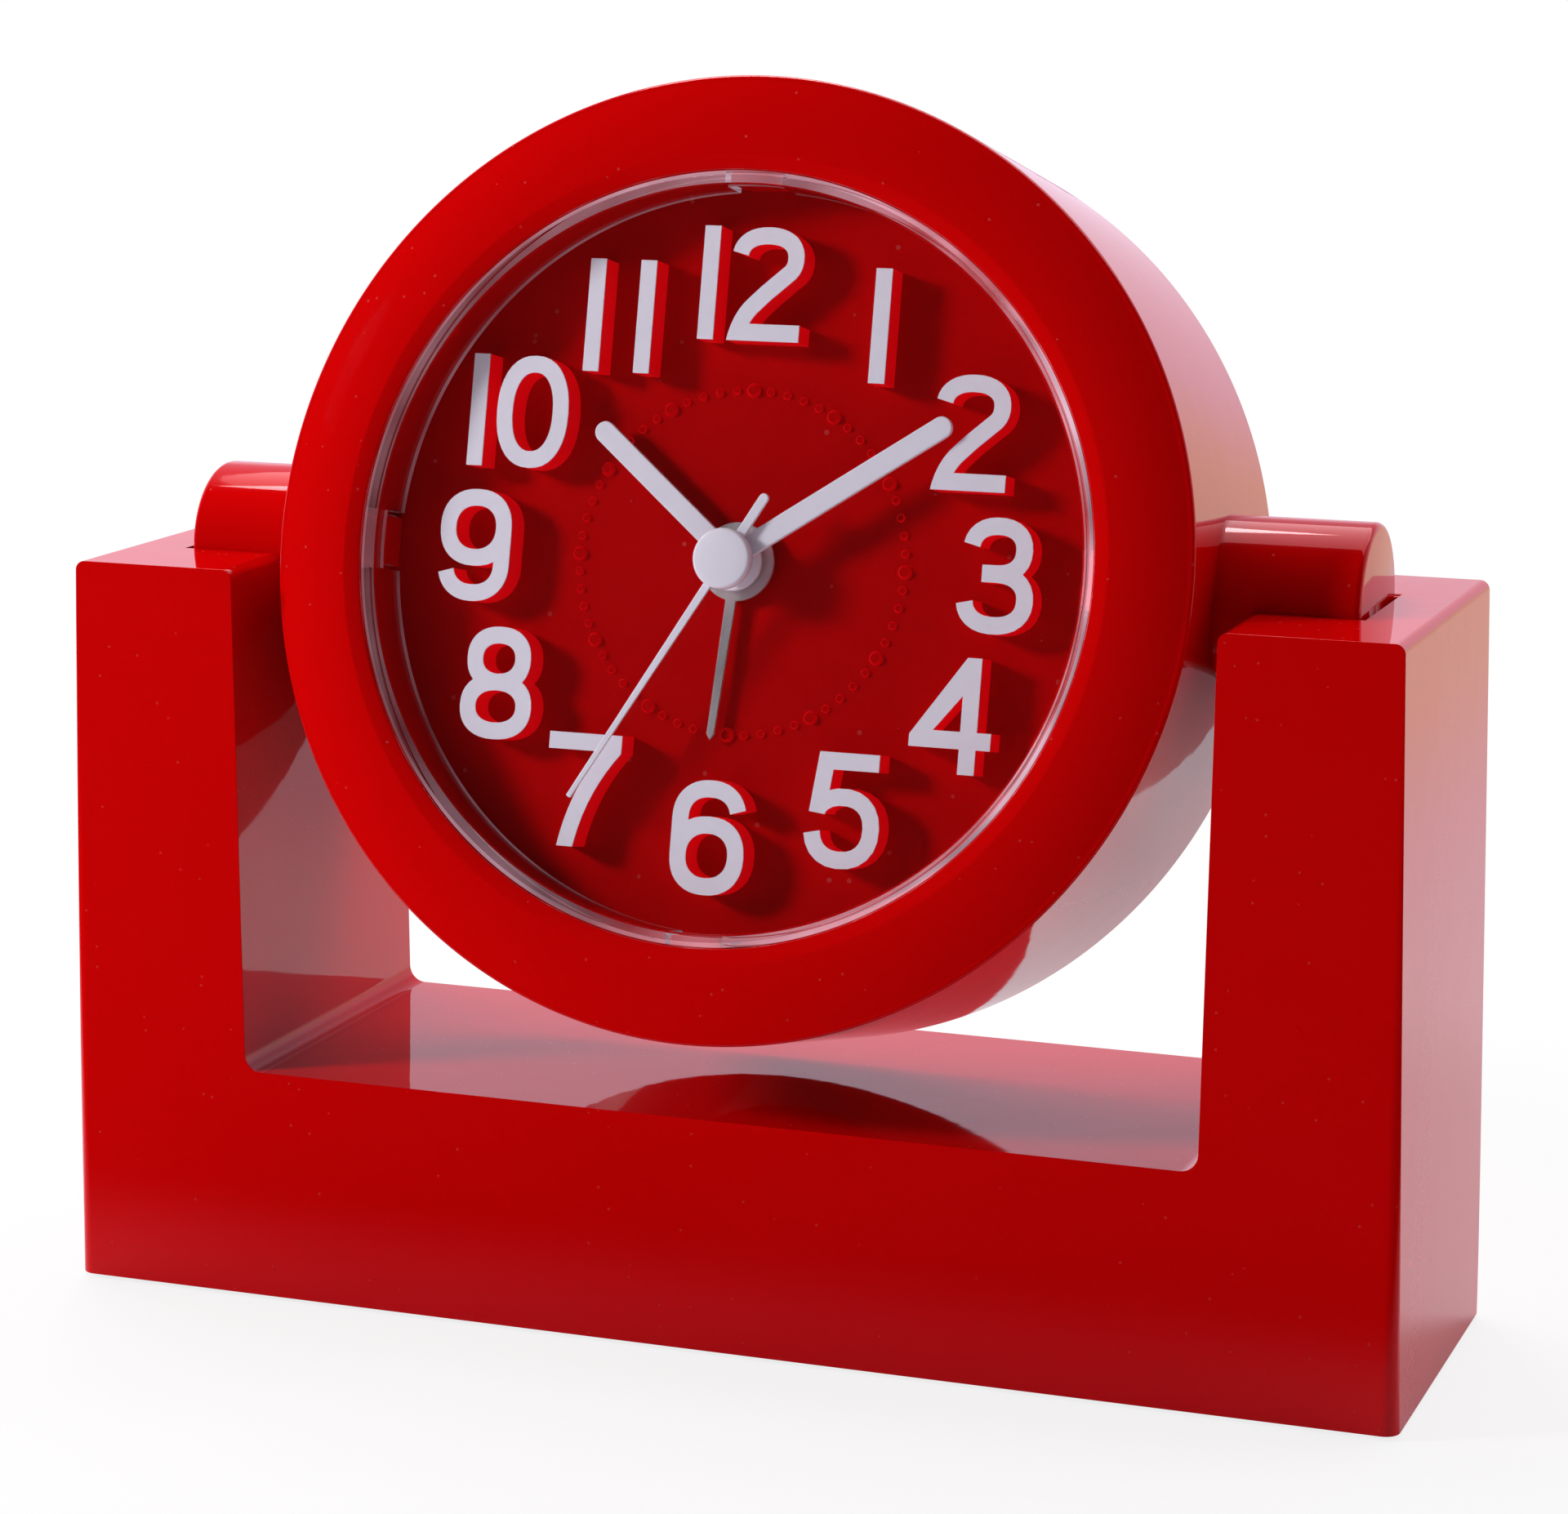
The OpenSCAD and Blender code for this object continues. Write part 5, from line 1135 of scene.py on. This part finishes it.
class CLOCK_OT_stage(bpy.types.Operator):
    """Make the floor, the soft studio lights, the white world and the camera"""

    bl_idname = "clock.stage"
    bl_label = "Stage"
    bl_options = {"REGISTER", "UNDO"}

    # What the gloss mirrors: tinted cards behind the object, a painted shadow on the floor, and a dark
    # room in front of it
    warm = (1.0, 0.86, 0.7)
    cool = (1.0, 0.84, 1.0)
    # Painted shadow: the clock's shadow on the floor, with red bounce light, as the gloss mirrors it
    painted_floor_shadow = (0.5, 0.12, 0.36)
    haze = (0.64, 0.53, 0.66)
    dark_floor = (0.004, 0.003, 0.004)
    dark_room = (0.008, 0.008, 0.009)
    # What lights the object from all round
    dim = (0.06, 0.06, 0.065)
    soft = (0.36, 0.34, 0.38)

    def floor(self):
        """Makes a pale floor that shows white to the camera and keeps the shadow"""
        half = 3.0
        points = [(x, y, 0) for x, y in rectangle(-half, half, -half, half)]
        floor = add_piece("floor", mesh_from("floor", points, [(0, 1, 2, 3)]))
        material = bpy.data.materials.new("Pale floor")
        material.use_nodes = True
        tree = material.node_tree
        shader = tree.nodes["Principled BSDF"]
        shader.inputs["Base Color"].default_value = (0.8, 0.79, 0.83, 1)
        shader.inputs["Roughness"].default_value = 0.7
        shader.inputs["Specular IOR Level"].default_value = 0.2
        place = place_node(tree)
        away = vector_node(tree, "LENGTH", place)
        parts = split_node(tree, place)
        seen, mirrored = ray_kinds(tree)
        # Near the object the floor's own shaded colour shows through the white
        white = math_node(tree, "MULTIPLY", seen, rise(tree, away, 0.06, 0.28, 0.82))
        front = rise(tree, math_node(tree, "MULTIPLY", parts["Y"], -1), 0.0, 0.06)
        distant = rise(tree, away, 0.15, 0.4)
        far = math_node(tree, "MULTIPLY", mirrored, math_node(tree, "MAXIMUM", front, distant))
        card = blend_colours(tree, rise(tree, parts["X"], 0.1, 0.16), self.cool, self.warm)
        # Painted shadow: the mirrored floor left of x = 0.03 m takes the painted floor shadow colour
        card = blend_colours(tree, rise(tree, parts["X"], 0.03, 0.1), self.painted_floor_shadow, card)
        card = blend_colours(tree, front, card, self.dark_floor)
        surface = shader.outputs["BSDF"]
        for share, tint in ((white, (1, 1, 1)), (far, card)):
            glow = tree.nodes.new("ShaderNodeEmission")
            give_colour(tree, glow.inputs["Color"], tint)
            surface = blend_shaders(tree, share, surface, glow.outputs["Emission"])
        tree.links.new(surface, tree.nodes["Material Output"].inputs["Surface"])
        material.cycles.emission_sampling = "NONE"
        floor.data.materials.append(material)

    def world(self):
        """Makes a world that is white to the camera, dim in front and pale behind"""
        world = bpy.data.worlds.new("Studio")
        world.use_nodes = True
        bpy.context.scene.world = world
        tree = world.node_tree
        parts = split_node(tree, place_node(tree, "Generated"))
        behind = rise(tree, parts["Y"], -0.15, 0.4)
        room = blend_colours(tree, behind, self.dim, self.soft)
        low = math_node(tree, "SUBTRACT", 1, rise(tree, parts["Z"], 0.03, 0.08))
        high = rise(tree, parts["Z"], 0.22, 0.42)
        right = math_node(tree, "MULTIPLY", low, rise(tree, parts["X"], 0.05, 0.2))
        card = blend_colours(tree, right, self.cool, self.warm)
        card = blend_colours(tree, high, card, self.haze)
        far = blend_colours(tree, behind, self.dark_room, card)
        seen, mirrored = ray_kinds(tree)
        shown = blend_colours(tree, mirrored, room, far)
        background = tree.nodes["Background"]
        tree.links.new(blend_colours(tree, seen, shown, (1, 1, 1)), background.inputs["Color"])
        world.cycles.sampling_method = "NONE"

    def light(self, name, place, target, size, power, tint=(1, 1, 1), glossy=False):
        """Adds a soft area light that points at a target"""
        data = bpy.data.lights.new(name, "AREA")
        data.shape = "RECTANGLE"
        data.size, data.size_y = size
        data.energy = power
        data.color = tint
        lamp = bpy.data.objects.new(name, data)
        bpy.context.scene.collection.objects.link(lamp)
        lamp.location = place
        lamp.rotation_euler = (Vector(place) - Vector(target)).to_track_quat("Z", "Y").to_euler()
        lamp.visible_camera = False
        lamp.visible_glossy = glossy

    def camera(self):
        """Adds the camera, at the photograph's view"""
        azimuth, elevation, roll = (math.radians(a) for a in (20.42, 9.69, -0.2))
        target = Vector((-0.00432, 0, 0.06991))
        distance = 0.44652
        back = Vector((
            math.sin(azimuth) * math.cos(elevation),
            -math.cos(azimuth) * math.cos(elevation),
            math.sin(elevation),
        ))
        right = Vector((math.cos(azimuth), math.sin(azimuth), 0))
        up = back.cross(right)
        turn = Matrix((
            right * math.cos(roll) - up * math.sin(roll),
            right * math.sin(roll) + up * math.cos(roll),
            back,
        )).transposed().to_4x4()
        data = bpy.data.cameras.new("Camera")
        data.sensor_width = 36
        data.lens = 99.9
        data.shift_x = 0.03125
        data.shift_y = -0.077
        data.clip_start = 0.01
        camera = bpy.data.objects.new("Camera", data)
        bpy.context.scene.collection.objects.link(camera)
        camera.matrix_world = Matrix.Translation(target + back * distance) @ turn
        bpy.context.scene.camera = camera

    def execute(self, context):
        self.floor()
        self.world()
        middle = (0, 0, 0.06)
        self.light("Key", (-0.447, -0.28, 0.294), middle, (0.1, 0.1), 2.6)
        self.light("Top", (0.05, 0.4, 0.9), middle, (1.3, 0.9), 7, glossy=True)
        self.light("Overhead strip", (-0.27, 0.2, 0.78), middle, (0.5, 0.12), 2.3, glossy=True)
        self.light("Right wall", (1.1, 0.55, 0.35), middle, (0.8, 0.6), 3.4, (1, 0.86, 0.78))
        self.camera()
        context.scene.view_settings.view_transform = "Standard"
        return {"FINISHED"}


# The add-on

OPERATORS = (
    CLOCK_OT_stand,
    CLOCK_OT_base,
    CLOCK_OT_drum,
    CLOCK_OT_trunnions,
    CLOCK_OT_lens,
    CLOCK_OT_dial,
    CLOCK_OT_hands,
    CLOCK_OT_movement,
    CLOCK_OT_back,
    CLOCK_OT_battery,
    CLOCK_OT_stage,
)


class CLOCK_PT_panel(bpy.types.Panel):
    """Sidebar panel that lists the sizes, the colours and the pieces"""

    bl_label = "Desk clock"
    bl_space_type = "VIEW_3D"
    bl_region_type = "UI"
    bl_category = "Clock"

    def draw(self, context):
        for group in (context.scene.clock_colours, context.scene.clock_sizes):
            box = self.layout.box()
            for name in group.__annotations__:
                box.prop(group, name)
        for operator in OPERATORS:
            self.layout.operator(operator.bl_idname)


CLASSES = (ClockSizes, ClockColours, *OPERATORS, CLOCK_PT_panel)


def register():
    """Adds the classes and the scene's sizes and colours"""
    for cls in CLASSES:
        bpy.utils.register_class(cls)
    bpy.types.Scene.clock_sizes = PointerProperty(type=ClockSizes)
    bpy.types.Scene.clock_colours = PointerProperty(type=ClockColours)


def unregister():
    """Takes them away again"""
    del bpy.types.Scene.clock_colours
    del bpy.types.Scene.clock_sizes
    for cls in reversed(CLASSES):
        bpy.utils.unregister_class(cls)


def main():
    """Registers the add-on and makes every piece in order"""
    register()
    for operator in OPERATORS:
        group, name = operator.bl_idname.split(".")
        getattr(getattr(bpy.ops, group), name)()


if __name__ == "__main__":
    main()
